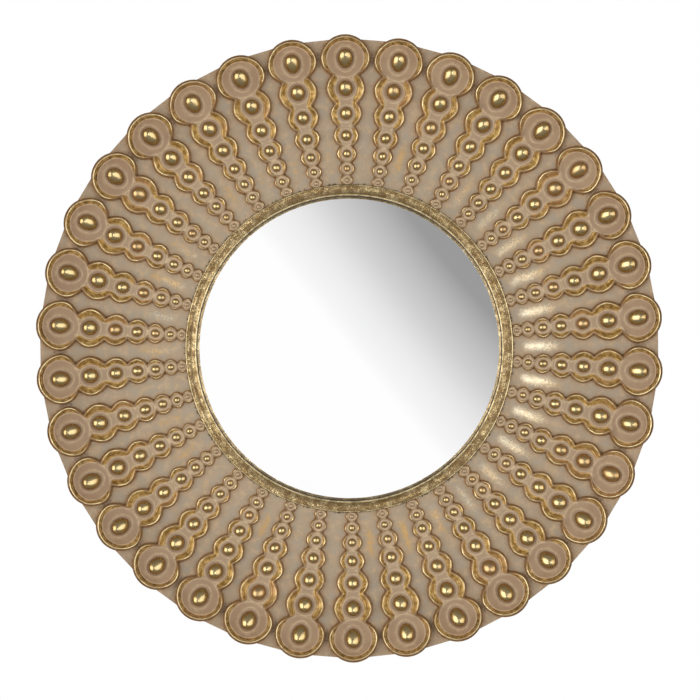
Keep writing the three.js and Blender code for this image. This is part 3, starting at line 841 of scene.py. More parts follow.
@dataclass(frozen=True)
class Relief:
    """Heights and colours-to-be at places of one row, as arrays."""

    height: np.ndarray
    crest: np.ndarray
    slope: np.ndarray
    foot: np.ndarray
    edge: np.ndarray
    dome: np.ndarray
    halo: np.ndarray
    ground: np.ndarray
    crevice: np.ndarray
    unit: np.ndarray

    def marks(self) -> dict[str, np.ndarray]:
        """The marks by name, as the mesh holds them."""
        return {name: getattr(self, name) for name in MARKS if hasattr(self, name)}


@dataclass(frozen=True)
class FrameSection:
    """The frame's section as the CAD part has it."""

    overall_radius: float = 400.0
    scallop_depth: float = 6.5
    rows: int = 34
    seat_radius: float = 211.2
    bore_radius: float = 205.0
    recess_radius: float = 221.5
    hub_radius: float = 273.5
    shell_inner: float = 284.5
    hub_back: float = 8.3
    ledge: float = 14.6
    ring_seat: float = 26.2
    face_level: float = 32.1
    flat_width: float = 24.0
    rise: float = 36.0
    thickness: float = 11.0
    half_width: float = 398.29
    front_depth: float = 74.79

    def face(self, radius: np.ndarray | float) -> np.ndarray:
        """Depth of the plain face at a radius: level by the sight ring, then a rising arc."""
        start = self.seat_radius + self.flat_width
        width = self.overall_radius - start
        curve = (width**2 + self.rise**2) / (2 * self.rise)
        out = np.maximum(0.0, np.asarray(radius, float) - start)
        return self.face_level + curve - np.sqrt(curve**2 - out**2)

    @property
    def step(self) -> float:
        """Angle from one row to the next."""
        return 2 * math.pi / self.rows

    @property
    def web_radius(self) -> float:
        """Radius of the straight edge between two scallops."""
        return self.overall_radius - self.scallop_depth


@dataclass
class Row:
    """One radial row of discs. Its coordinates run across the row, and along it from the mirror's middle."""

    section: FrameSection
    count: int = 7
    outer_gap: float = 3.4
    outer_reach: float = 30.9
    outer_inner_share: float = 0.74
    second_radius: float = 25.6
    last_radius: float = 8.4
    depth_share: float = 0.95
    last_cut: float = 0.9
    pitch_ratio: float = 0.41
    row_gap: float = 2.0
    band: Law = (2.4, 3.8)
    relief: Law = (3.0, 7.6)
    plate_share: float = 0.56
    first_plate_share: float = 0.76
    first_plate_out: float = 0.85
    neck: Law = (3.4, 11.0)
    neck_blend: float = 4.0
    trough: float = 0.26
    floor_share: float = 0.42
    dome_share: float = 0.35
    first_dome_share: float = 0.29
    dome_length: float = 1.08
    first_dome_length: float = 1.24
    dome_rise: float = 0.9
    lip_width: float = 2.0
    crest_point: float = 0.3
    plate_dish: float = 0.5

    def __post_init__(self) -> None:
        """Places the discs. The distances between them shrink inwards by equal steps."""
        self.first_centre = self.section.overall_radius - self.outer_reach
        last_reach = (self.last_radius - self.band[0]) * self.depth_share
        self.last_centre = self.section.seat_radius + self.last_cut * last_reach
        gaps = self.count - 1
        pitch = 2 * (self.first_centre - self.last_centre) / (gaps * (1 + self.pitch_ratio))
        shrink = pitch * (1 - self.pitch_ratio) / (gaps - 1)
        centres = [self.first_centre]
        for i in range(gaps):
            centres.append(centres[-1] - pitch + i * shrink)
        spread = (self.second_radius - self.last_radius) / (centres[1] - self.last_centre)
        self.discs: list[Disc] = []
        for i, centre in enumerate(centres):
            room = centre * math.sin(self.section.step / 2)
            wanted = self.last_radius + (centre - self.last_centre) * spread
            half = room - self.outer_gap / 2 if i == 0 else min(wanted, room - self.row_gap / 2)
            first = i == 0
            dome = half * (self.first_dome_share if first else self.dome_share)
            length = dome * (self.first_dome_length if first else self.dome_length)
            self.discs.append(
                Disc(
                    centre=centre,
                    half_width=half,
                    outward=self.outer_reach if first else half * self.depth_share,
                    inward=half * (self.outer_inner_share if first else self.depth_share),
                    dome_width=dome,
                    dome_out=length * (0.9 if first else 1.0),
                    dome_in=length * (1.1 if first else 1.0),
                    dome_centre=centre + (2.0 if first else 0.0),
                    plate=half * (self.first_plate_share if first else self.plate_share),
                    plate_out=self.first_plate_out if first else 1.0,
                )
            )

    def along_law(self, along: np.ndarray | float, law: Law) -> np.ndarray | float:
        """Value at a distance along the row, between the last disc's value and the first's."""
        share = (along - self.last_centre) / (self.first_centre - self.last_centre)
        return law[0] + share * (law[1] - law[0])

    def band_at(self, along: np.ndarray, unit: np.ndarray) -> np.ndarray:
        """Width of the band outside the crest. It narrows where a disc is widest, so the crest has a point."""
        centres = np.array([disc.centre for disc in self.discs])[unit]
        halves = np.array([disc.half_width for disc in self.discs])[unit]
        off = (along - centres) / halves
        point = np.where(unit == 0, bell(off, 0.0, 0.6), np.exp(-np.abs(off) / 0.2))
        return self.along_law(along, self.band) * (1 - self.crest_point * point)

    def rounds(self, across: np.ndarray, along: np.ndarray) -> np.ndarray:
        """How far a place lies inside the nearest round plate, in mm."""
        return np.max([disc.plate_inset(across, along) for disc in self.discs], axis=0)

    def plates(self, across: np.ndarray, along: np.ndarray) -> np.ndarray:
        """How far a place lies inside the chain of round plates and the necks between them.

        Args:
            across: Distance from the row's axis.
            along: Distance from the mirror's middle.

        Returns:
            The inset in mm. Outside the chain it is below zero.
        """
        rounds = self.rounds(across, along)
        strip = self.along_law(along, self.neck) - np.abs(across)
        ends = np.minimum(self.discs[0].dome_centre - along, along - self.discs[-1].dome_centre)
        strip = np.minimum(strip, ends)
        overlap = np.maximum(self.neck_blend - np.abs(rounds - strip), 0.0) / self.neck_blend
        return np.maximum(rounds, strip) + overlap**2 * self.neck_blend / 4

    def _domes(self, across: np.ndarray, along: np.ndarray) -> tuple[np.ndarray, np.ndarray, np.ndarray]:
        """Works out the domes, with a shallow moat round each.

        Args:
            across: Distance from the row's axis.
            along: Distance from the mirror's middle, along that axis.

        Returns:
            Their height in mm, and the marks of the domes and of the painted shade round them.
        """
        height, dome, halo = (np.zeros_like(across) for _ in range(3))
        for disc in self.discs:
            share = disc.dome_share(across, along)
            body = np.sqrt(np.maximum(1 - share**2, 0.0))
            moat = 0.06 * bell(share, 1.07, 0.09) * (share > 0.97)
            height = height + self.dome_rise * disc.dome_width * (body - moat)
            dome = np.maximum(dome, np.where(share < 1, body, 0.0))
            # Painted shade: a dark ring round each dome's foot, with a faint wider tail.
            halo = np.maximum(halo, 1 - smoothstep(1.0, 1.12, share))
            halo = np.maximum(halo, 0.14 * (1 - smoothstep(1.0, 2.1, share)))
        return height, dome, halo

    def at(self, across: np.ndarray, along: np.ndarray) -> Relief:
        """Works out the relief at places of the row.

        Args:
            across: Distance from the row's axis.
            along: Distance from the mirror's middle, along that axis.

        Returns:
            The relief's height above the plain face in mm, and marks between 0 and 1.
        """
        insets = np.stack([disc.inset(across, along) for disc in self.discs])
        order = np.sort(insets, axis=0)
        best, second = order[-1], order[-2]
        unit = insets.argmax(axis=0)
        band = self.band_at(along, unit)
        tall = self.along_law(along, self.relief)

        merge = 4.5 * smoothstep(0.0, 1.0, best / band) + 1e-6
        overlap = np.maximum(merge - (best - second), 0.0) / merge
        inset = best + overlap**2 * merge / 4

        first = self.discs[0]
        off = np.maximum(along - first.centre, 0.0)
        outward = off / np.maximum(np.hypot(across, off), 1e-6)
        lip = np.where(unit == 0, self.lip_width * outward**2, 0.0)
        climb = np.clip((inset - lip) / (band - lip), 0.0, 1.0)
        rising = 1 - (1 - climb) ** 2.2

        # Inside the crest a trough runs down to the edge of the plates.
        past = np.maximum(inset - band, 0.0)
        plate = np.minimum(self.plates(across, along), inset - band - 0.6)
        left = np.maximum(-plate, 0.0)
        width = past + left
        share_in = past / np.maximum(width, 1e-6)
        trough = self.floor_share - (self.floor_share - self.trough) * smoothstep(1.5, 5.0, width)
        falling = 1 - (1 - trough) * smoothstep(0.0, 0.78, share_in)
        falling = falling + (self.floor_share - trough) * smoothstep(0.84, 1.0, share_in)
        profile = np.where(inset < band, rising, np.where(plate < 0, falling, self.floor_share))
        fold = bell(share_in, 0.5, 0.13) * smoothstep(2.8, 4.6, width) * (inset > band) * (plate < 0)
        height = tall * profile * (inset > 0) + 0.45 * fold
        rounds = np.minimum(self.rounds(across, along), plate + 2.0)
        rim = bell(rounds, 0.5, 0.8) * (plate > -1.0) * (inset > band)
        height = height + 0.3 * np.maximum(rim, bell(plate, 0.35, 0.5) * (inset > band))
        height = height - self.plate_dish * smoothstep(0.5, 5.5, rounds) * (plate > 0)
        height = height + 0.25 * np.exp(np.minimum(inset, 0.0) / 0.7) * (inset <= 0)

        rise, dome, halo = self._domes(across, along)
        ring = bell(first.dome_share(across, along), 1.36, 0.075)
        height = height + rise + 0.3 * ring

        half = self.section.step / 2
        to_side = along * math.sin(half) - np.abs(across) * math.cos(half)
        # Painted shade: darker along each disc's foot, in the necks between discs, in the gaps between the
        # outermost discs and beside the sight ring.
        gap_shadow = (1 - smoothstep(2.6, 6.2, to_side - best)) * (1 - smoothstep(1.0, 3.4, to_side))
        pinch_shade = np.exp(-(best**2 + second**2) / 4.0)
        seat = np.hypot(across, along) - self.section.seat_radius
        crevice = 0.1 * bell(best, -0.2, 0.9) + 0.6 * pinch_shade + 0.5 * gap_shadow + 0.3 * np.exp(-seat / 1.6)
        wide = smoothstep(1.2, 3.0, width)
        turned = np.degrees(np.arctan2(np.abs(across), along - first.centre))
        halves = np.array([disc.half_width for disc in self.discs])[unit]
        beside = smoothstep(0.5, 0.86, np.abs(across) / halves)
        flank = np.where(unit == 0, 1 - smoothstep(95, 140, turned), beside)
        crest = np.maximum(bell(inset, band, np.where(unit == 0, 0.85, 0.6)), 0.8 * fold)
        return Relief(
            height=height,
            crest=crest * (0.12 + 0.88 * flank),
            slope=(inset > band) * (1 - smoothstep(0.78, 1.0, share_in)) * wide,
            # Outside a disc the foot mark falls off over the ground as painted shade beside the disc.
            foot=np.where(best > 0, 1 - smoothstep(-0.8, 0.0, inset - band), 0.5 * np.exp(best / 2.0)),
            edge=np.maximum(np.maximum(rim, ring), bell(plate, 0.5, 0.8) * (inset > band)),
            dome=dome,
            halo=halo,
            ground=1 - smoothstep(-0.4, 0.6, inset),
            crevice=np.clip(crevice, 0.0, 1.0),
            unit=unit,
        )


class Sheet:
    """Collects sample points of half a row, keeps them apart, and joins them into triangles."""

    def __init__(self, cell: float) -> None:
        """Starts an empty sheet.

        Args:
            cell: Least distance between two points that are not on an outline.
        """
        self.cell = cell
        self.points: list[Place] = []
        self.edges: list[tuple[int, int]] = []
        self._bins: dict[tuple[int, int], list[int]] = {}

    def near(self, point: Place, distance: float) -> bool:
        """True if there is a point already within a distance."""
        column, row = int(point[0] // self.cell), int(point[1] // self.cell)
        reach = int(math.ceil(distance / self.cell))
        for i in range(column - reach, column + reach + 1):
            for j in range(row - reach, row + reach + 1):
                for k in self._bins.get((i, j), ()):
                    other = self.points[k]
                    if math.hypot(other[0] - point[0], other[1] - point[1]) < distance:
                        return True
        return False

    def add(self, point: Place, distance: float = 0.0) -> int | None:
        """Adds a point unless another lies within the distance, and gives back its index."""
        if distance > 0 and self.near(point, distance):
            return None
        self.points.append(point)
        key = (int(point[0] // self.cell), int(point[1] // self.cell))
        self._bins.setdefault(key, []).append(len(self.points) - 1)
        return len(self.points) - 1

    def line(self, points: Sequence[Place]) -> None:
        """Adds points in a row that stay joined by edges."""
        indices = [self.add(point) for point in points]
        self.edges.extend((a, b) for a, b in zip(indices, indices[1:]) if a is not None and b is not None)

    def triangles(self) -> tuple[np.ndarray, list[tuple[int, ...]]]:
        """Joins the points inside the boundary into triangles.

        Returns:
            The points as an array of pairs, and the triangles.
        """
        flat = [Vector(point) for point in self.points]
        points, _, faces, *_ = delaunay_2d_cdt(flat, self.edges, [], 1, 1e-5)
        return np.array([tuple(p) for p in points]), [tuple(f) for f in faces]


@dataclass
class FrameCasting:
    """The moulded frame with its rows of discs, its shell, hub and seats."""

    finish: Finish
    section: FrameSection = field(default_factory=FrameSection)
    spacing: float = 1.5
    ground_spacing: float = 3.2
    floor_spacing: float = 2.6
    side_spacing: float = 1.3
    axis_spacing: float = 0.9
    rim_steps: int = 20
    web_steps: int = 4
    seat_steps: int = 12
    back_segments: int = 272
    drift: float = 0.28
    unevenness: float = 0.03

    def __post_init__(self) -> None:
        """Sets up the row and the edge of its outermost scallop."""
        self.row = Row(self.section)
        self.half = self.section.step / 2

    def _rim_angle(self) -> float:
        """Angle on the outermost disc's outline at which the straight edge meets it."""
        low, high = 0.0, math.pi / 2
        for _ in range(50):
            middle = (low + high) / 2
            across, along = self.row.discs[0].outline_point(middle, 0)
            past = across * math.sin(self.half) + along * math.cos(self.half) - self.section.web_radius
            low, high = (middle, high) if past > 0 else (low, middle)
        return (low + high) / 2

    def _levels(self, disc: Disc) -> list[float]:
        """Insets at which a disc's outline is sampled."""
        band = float(self.row.along_law(disc.centre, self.row.band))
        rising = [band * share for share in (0.12, 0.3, 0.5, 0.68, 0.83, 0.93, 1.0)]
        falling = [band + step for step in (0.3, 0.7, 1.2, 1.8, 2.5, 3.2, 3.9, 4.6, 5.4, 6.4)]
        return [-1.0, -0.45, 0.0, *rising, *[f for f in falling if f < 0.75 * disc.half_width]]

    def _inside(self, point: Place, margin: float) -> bool:
        """True if a place lies in the half row, clear of its boundary."""
        across, along = point
        radius = math.hypot(across, along)
        to_side = along * math.sin(self.half) - across * math.cos(self.half)
        if across < margin or to_side < margin or radius < self.section.seat_radius + margin:
            return False
        to_web = self.section.web_radius - (across * math.sin(self.half) + along * math.cos(self.half))
        if to_web > margin:
            return True
        return float(self.row.discs[0].inset(np.array([across]), np.array([along]))[0]) > margin

    def _boundary(self, sheet: Sheet) -> None:
        """Adds the half row's closed boundary: scallop, straight edge, side, seat and axis."""
        section, first = self.section, self.row.discs[0]
        stop = self._rim_angle()
        arc = [first.outline_point(stop * i / self.rim_steps, 0) for i in range(self.rim_steps + 1)]
        start = np.array(arc[-1])
        run = np.array(polar(self.half, section.web_radius)) - start
        web = [tuple(start + run * i / self.web_steps) for i in range(1, self.web_steps)]
        width = section.web_radius - section.seat_radius
        count = int(width / self.side_spacing)
        side = [polar(self.half, section.web_radius - width * i / count) for i in range(count + 1)]
        turns = [self.half * (1 - i / self.seat_steps) for i in range(1, self.seat_steps)]
        seat = [polar(turn, section.seat_radius) for turn in turns]
        width = section.overall_radius - section.seat_radius
        count = int(width / self.axis_spacing)
        axis = [(0.0, section.seat_radius + width * i / count) for i in range(count)]
        loop = [*arc, *web, *side, *seat, *axis]
        sheet.line(loop)
        sheet.edges.append((len(loop) - 1, 0))

    def _sample(self, sheet: Sheet, points: Sequence[Place], margin: float, distance: float) -> None:
        """Adds the points that lie in the half row.

        Args:
            sheet: Where they go.
            points: The points.
            margin: How far they have to stay off the boundary.
            distance: How far they have to stay off the points already there.
        """
        for point in points:
            if self._inside(point, margin):
                sheet.add(point, distance)

    def _owned(self, point: Place, index: int) -> bool:
        """True if no neighbouring disc's outline lies further out at a place than that of the disc."""
        discs = self.row.discs
        across, along = np.array([point[0]]), np.array([point[1]])
        own = discs[index].inset(across, along)[0]
        others = [discs[j].inset(across, along)[0] for j in (index - 1, index + 1) if 0 <= j < len(discs)]
        return all(own >= other - 1e-6 for other in others)

    def _fill(self, sheet: Sheet, spacing: float) -> None:
        """Fills what is still empty with points in a triangular pattern."""
        rise = spacing * math.sqrt(3) / 2
        for j in range(int((self.section.overall_radius - self.section.seat_radius) / rise)):
            along = self.section.seat_radius + j * rise
            columns = int(along * math.sin(self.half) / spacing) + 2
            points = [((i + 0.5 * (j % 2)) * spacing, along) for i in range(columns)]
            self._sample(sheet, points, spacing * 0.4, spacing * 0.75)

    def _half_row(self) -> tuple[np.ndarray, list[tuple[int, ...]]]:
        """Samples half a row along its outlines, domes, plates and ground, and joins the samples."""
        sheet = Sheet(cell=0.8)
        self._boundary(sheet)
        discs = self.row.discs
        for i in range(-13, 14):
            x, z = polar(self.half, discs[0].centre + i * self.side_spacing)
            beside = [(x - off * math.cos(self.half), z + off * math.sin(self.half)) for off in (0.7, 1.4)]
            self._sample(sheet, beside, 0.3, 0.5)
        shares = (0.0, 0.22, 0.42, 0.6, 0.74, 0.85, 0.93, 0.975, 1.0, 1.03, 1.08, 1.15, 1.24, 1.32, 1.42)
        for disc in discs:
            for share in shares:
                turns = half_turn(max(3, int(math.pi * share * disc.dome_width / (self.spacing * 0.75))))
                self._sample(sheet, [disc.dome_point(turn, share) for turn in turns], 0.3, 0.3)
        for disc in discs:
            turns = half_turn(max(8, int(math.pi * disc.plate / self.spacing)))
            for inset in (-1.4, -0.6, 0.0, 0.45, 1.0):
                self._sample(sheet, [disc.plate_point(turn, inset) for turn in turns], 0.3, 0.45)
        for index, disc in enumerate(discs):
            for level in self._levels(disc):
                for turn in half_turn(max(6, int(math.pi * (disc.half_width - level) / self.spacing))):
                    point = disc.outline_point(turn, level)
                    if self._inside(point, 0.28) and self._owned(point, index):
                        sheet.add(point, 0.3)
        for spacing in (self.floor_spacing, self.ground_spacing):
            self._fill(sheet, spacing)
        return sheet.triangles()

    def _mirrored_row(self) -> tuple[np.ndarray, np.ndarray]:
        """A whole row: the half row and its mirror image."""
        points, faces = self._half_row()
        corners = np.array([f for f in faces if len(f) == 3], int)
        other = points * np.array([-1.0, 1.0])
        both = np.concatenate([points, other])
        flipped = corners[:, ::-1] + len(points)
        return both, np.concatenate([corners, flipped])

    def _front(self, shape: Shape) -> None:
        """Adds all rows of the face, each a little different."""
        section = self.section
        flat, triangles = self._mirrored_row()
        across, along = flat[:, 0], flat[:, 1]
        relief = self.row.at(across, along)
        radius, turn = np.hypot(across, along), np.arctan2(across, along)
        to_side = along * math.sin(self.half) - np.abs(across) * math.cos(self.half)
        random = np.random.default_rng(SEED)
        drift_x, drift_z, swell = Wobble(SEED, 46.0), Wobble(SEED + 1, 46.0), Wobble(SEED + 2, 60.0)
        strengths = random.uniform(0, 1, section.rows) ** 1.3
        inside = smoothstep(0.0, 6.0, section.web_radius - radius)
        drift = self.drift * inside * smoothstep(0.0, 6.0, radius - section.seat_radius)
        for k in range(section.rows):
            angle = k * section.step + turn
            x, z = radius * np.sin(angle), radius * np.cos(angle)
            lift = relief.height * (1 + self.unevenness * (np.minimum(swell.at(x, z), 1.0) - 1))
            placed = (x + drift * drift_x.at(x, z), z + drift * drift_z.at(x, z), section.face(radius) + lift)
            chances = random.uniform(0, 1, self.row.count)
            first = len(shape.corners)
            shape.corners.extend(zip(*(values.tolist() for values in placed)))
            shape.faces.extend(map(tuple, (triangles + first).tolist()))
            marks = {
                **relief.marks(),
                "reach": (radius - section.seat_radius) / (section.overall_radius - section.seat_radius),
                "gilt": self._gilt(to_side, radius, np.where(across > 0, strengths[k], strengths[k - 1])),
                "glint": self._burnish_and_painted_glint(to_side, radius, np.degrees(angle) % 360),
                "chance": chances[relief.unit],
                "back": np.zeros(len(flat)),
            }
            for name, values in marks.items():
                shape.marks.setdefault(name, []).extend(values.tolist())

    @staticmethod
    def _gilt(to_side: np.ndarray, radius: np.ndarray, strength: np.ndarray) -> np.ndarray:
        """How far the ground between the rows is rubbed back to orange gold, in streaks by the sight ring.

        Args:
            to_side: Distance from the line between two rows.
            radius: Distance from the mirror's middle.
            strength: Strength of the streak there.

        Returns:
            A share between 0 and 1.
        """
        reach = smoothstep(226, 240, radius) * (1 - smoothstep(258, 280, radius))
        return bell(to_side, 0.0, 5.0) * reach * strength

    @staticmethod
    def _burnish_and_painted_glint(to_side: np.ndarray, radius: np.ndarray, degrees: np.ndarray) -> np.ndarray:
        """How far the ground between the rows is burnished and carries a painted near-white glint. Most of it is on
        the right.

        Args:
            to_side: Distance from the line between two rows.
            radius: Distance from the mirror's middle.
            degrees: Angle clockwise from the top.

        Returns:
            A share between 0 and 1.
        """
        reach = smoothstep(216, 232, radius) * (1 - smoothstep(246, 288, radius))
        turned = 0.1 + 0.9 * bell(degrees, 95, 48) + 0.3 * bell(degrees, 285, 25)
        return bell(to_side, 0.0, 6.4) * reach * turned

    def _edge_loop(self) -> list[Place]:
        """The outline seen from the front, once round from the top, as angle and radius."""
        sheet = Sheet(cell=0.8)
        self._boundary(sheet)
        half = sheet.points[: self.rim_steps + self.web_steps + 1]
        loop: list[Place] = []
        for k in range(self.section.rows):
            middle = k * self.section.step
            right = [(middle + math.atan2(a, v), math.hypot(a, v)) for a, v in half]
            left = [(middle - math.atan2(a, v), math.hypot(a, v)) for a, v in half[1:-1]]
            loop.extend([*reversed(left), *right])
        return loop

    def _join(self, shape: Shape, first: list[tuple[float, int]], second: list[tuple[float, int]]) -> None:
        """Fills the strip between two closed loops of angle and corner."""
        a = [*first, (first[0][0] + 2 * math.pi, first[0][1])]
        b = [*second, (second[0][0] + 2 * math.pi, second[0][1])]
        i = j = 0
        while i < len(a) - 1 or j < len(b) - 1:
            next_a = a[i + 1][0] if i < len(a) - 1 else math.inf
            next_b = b[j + 1][0] if j < len(b) - 1 else math.inf
            if abs(next_a - next_b) < 1e-7:
                shape.faces.append((a[i][1], a[i + 1][1], b[j + 1][1], b[j][1]))
                i, j = i + 1, j + 1
            elif next_a < next_b:
                shape.faces.append((a[i][1], a[i + 1][1], b[j][1]))
                i += 1
            else:
                shape.faces.append((a[i][1], b[j + 1][1], b[j][1]))
                j += 1

    def _shell(self, shape: Shape) -> None:
        """Adds the edge's side and everything behind the face, from the rim in to the sight ring's seat."""
        section = self.section
        outline = self._edge_loop()
        sides = [(0.0, 0.0, 0.0), (0.0, -0.6, 0.0), (-0.15, -4.0, 0.0)]
        sides += [(-0.6, -8.5, 0.5), (-1.2, -10.2, 1.0), (-2.6, -11.0, 1.0)]
        loops: list[list[tuple[float, int]]] = []
        for drawn, lower, behind in sides:
            points = [
                (*polar(angle, radius + drawn), float(section.face(radius)) + lower) for angle, radius in outline
            ]
            indices = shape.add_loop(points, back=behind, reach=1.0, crest=0.35 * (1 - behind), chance=0.5)
            loops.append([(angle, index) for (angle, _), index in zip(outline, indices)])
        radii = (385, 365, 345, 325, 305, 292)
        face_back = [(radius, float(section.face(radius)) - section.thickness) for radius in radii]
        inner = float(section.face(section.shell_inner)) - section.thickness
        profile = [
            *face_back,
            (section.shell_inner + 1.5, inner + 0.4),
            (section.shell_inner - 1.0, inner - 0.6),
            (section.hub_radius + 2.2, section.hub_back + 2.4),
            (section.hub_radius + 0.6, section.hub_back + 0.7),
            (section.hub_radius - 1.4, section.hub_back),
            (section.recess_radius + 0.8, section.hub_back),
            (section.recess_radius, section.hub_back + 0.8),
            (section.recess_radius, section.ledge),
            (section.bore_radius, section.ledge),
            (section.bore_radius, section.ring_seat),
            (section.seat_radius, section.ring_seat),
        ]
        angles = [2 * math.pi * i / self.back_segments for i in range(self.back_segments)]
        for radius, depth in profile:
            points = [(*polar(angle, radius), depth) for angle in angles]
            indices = shape.add_loop(points, back=1.0, reach=0.5, chance=0.5)
            loops.append(list(zip(angles, indices)))
        steps = range(-self.seat_steps, self.seat_steps + 1)
        turns = [k * section.step + self.half * i / self.seat_steps for k in range(section.rows) for i in steps]
        seat_angles = sorted({round(turn, 9) % (2 * math.pi) for turn in turns})
        level = float(section.face(section.seat_radius))
        flat = [polar(angle, section.seat_radius) for angle in seat_angles]
        indices = shape.add_loop([(x, z, level) for x, z in flat], back=1.0, reach=0.0, chance=0.5)
        loops.append(list(zip(seat_angles, indices)))
        for first, second in zip(loops, loops[1:]):
            base = first[0][0]
            turned = [((angle - base) % (2 * math.pi) + base, index) for angle, index in second]
            self._join(shape, first, sorted(turned))

    def build(self) -> bpy.types.Object:
        """Builds and dresses the casting, kept within the CAD part's box."""
        shape = Shape()
        self._front(shape)
        self._shell(shape)
        side, front = self.section.half_width, self.section.front_depth
        shape.corners = [(max(-side, min(side, x)), z, min(front, depth)) for x, z, depth in shape.corners]
        mesh = shape.to_mesh("frame_casting_relief")
        return place_piece("frame_relief", mesh, self.finish.make(), "frame_casting", sharp=60)


# ---------------------------------------------------------------- glass and its fittings


@dataclass
class SightRing:
    """The narrow gilded ring round the glass."""

    finish: Finish
    sight_radius: float = 196.5
    skirt_inner: float = 205.3
    outer_radius: float = 210.7
    skirt_back: float = 26.5
    flange_back: float = 30.7
    front: float = 37.3
    face_drop: float = 3.0
    lip: float = 2.4
    bead: float = 1.5
    segments: int = 256

    def build(self) -> bpy.types.Object:
        """Builds and dresses the ring: rounded lip, hollow face, and raised outer bead."""
        hollow = self.front - self.face_drop
        points: list[Corner] = [
            (self.sight_radius + 0.2, self.flange_back, 0.0),
            (self.skirt_inner, self.flange_back, 0.0),
            (self.skirt_inner, self.skirt_back, 0.0),
            (self.outer_radius, self.skirt_back, 0.0),
            (self.outer_radius, hollow + 0.2, 0.3),
        ]
        for i in range(1, 8):
            turn = math.pi * i / 8
            radius = self.outer_radius - self.bead / 2 * (1 - math.cos(turn))
            points.append((radius, hollow + 0.2 + 1.2 * math.sin(turn), 0.8 * math.sin(turn)))
        width = self.outer_radius - self.bead - (self.sight_radius + self.lip)
        for i in range(11):
            share = i / 10
            depth = hollow + 0.1 + 0.5 * share - 0.9 * math.sin(math.pi * share)
            points.append((self.outer_radius - self.bead - width * share, depth, 0.0))
        for i in range(1, 12):
            turn = math.pi * i / 12
            radius = self.sight_radius + self.lip / 2 * (1 + math.cos(turn))
            points.append((radius, hollow + 0.6 + 2.4 * math.sin(turn), math.sin(turn) * 0.8))
        points.append((self.sight_radius, hollow + 0.4, 0.2))
        shape = Shape()
        revolve(shape, points, self.segments, closed=True)
        mesh = shape.to_mesh("sight_ring_mesh")
        return place_piece("gilt_sight_ring", mesh, self.finish.make(), "sight_ring", sharp=50)


@dataclass
class ConvexGlass:
    """The domed glass, silvered on its back, and the soft rings before and behind its edge."""

    finish: Finish
    radius: float = 203.0
    rise: float = 28.0
    edge_back: float = 23.3
    thickness: float = 4.0
    rings: int = 40
    segments: int = 192
    soft_segments: int = 128
    seat_gap: float = 0.3
    felt_inner: float = 196.8
    felt_outer: float = 201.4
    felt_front: float = 30.4
    foam_width: float = 12.0
    foam_back: float = 14.6

    def back_depth(self, radius: float) -> float:
        """Depth of the glass's back at a radius."""
        curve = (self.radius**2 + self.rise**2) / (2 * self.rise)
        return self.edge_back + self.rise - curve + math.sqrt(curve**2 - radius**2)

    def front_depth(self, radius: float) -> float:
        """Depth of the glass's front at a radius."""
        return self.back_depth(radius) + self.thickness

    def build(self) -> bpy.types.Object:
        """Builds and dresses the glass."""
        radii = [self.radius * i / self.rings for i in range(self.rings + 1)]
        back = [(radius, self.back_depth(radius)) for radius in radii]
        front = [(radius, self.front_depth(radius)) for radius in reversed(radii)]
        shape = Shape()
        revolve(shape, [*back, *front], self.segments)
        mesh = shape.to_mesh("convex_glass_mesh")
        return place_piece("silvered_glass", mesh, self.finish.make(), "convex_glass", sharp=40)

    def build_felt(self, finish: Finish) -> bpy.types.Object:
        """Builds the felt strip between the glass's edge and the sight ring."""
        inner, outer = self.felt_inner, self.felt_outer
        corners = [
            (inner, self.front_depth(inner) + self.seat_gap),
            (outer, self.front_depth(outer) + self.seat_gap),
            (outer, self.felt_front),
            (inner, self.felt_front),
        ]
        shape = Shape()
        revolve(shape, rounded(corners, 0.2, 2), self.soft_segments, closed=True)
        return place_piece("felt_strip", shape.to_mesh("felt_strip_mesh"), finish.make(), "glass_seal")

    def build_foam(self, finish: Finish) -> bpy.types.Object:
        """Builds the foam ring that presses the glass forwards."""
        inner, outer = self.radius - self.foam_width, self.radius
        corners = [
            (inner, self.foam_back),
            (outer, self.foam_back),
            (outer, self.back_depth(outer) - self.seat_gap),
            (inner, self.back_depth(inner) - self.seat_gap),
        ]
        shape = Shape()
        revolve(shape, rounded(corners, 1.4, 4), self.soft_segments, closed=True)
        piece = place_piece("foam_ring", shape.to_mesh("foam_ring_mesh"), finish.make(), "cushion_ring")
        return piece


# ---------------------------------------------------------------- the back


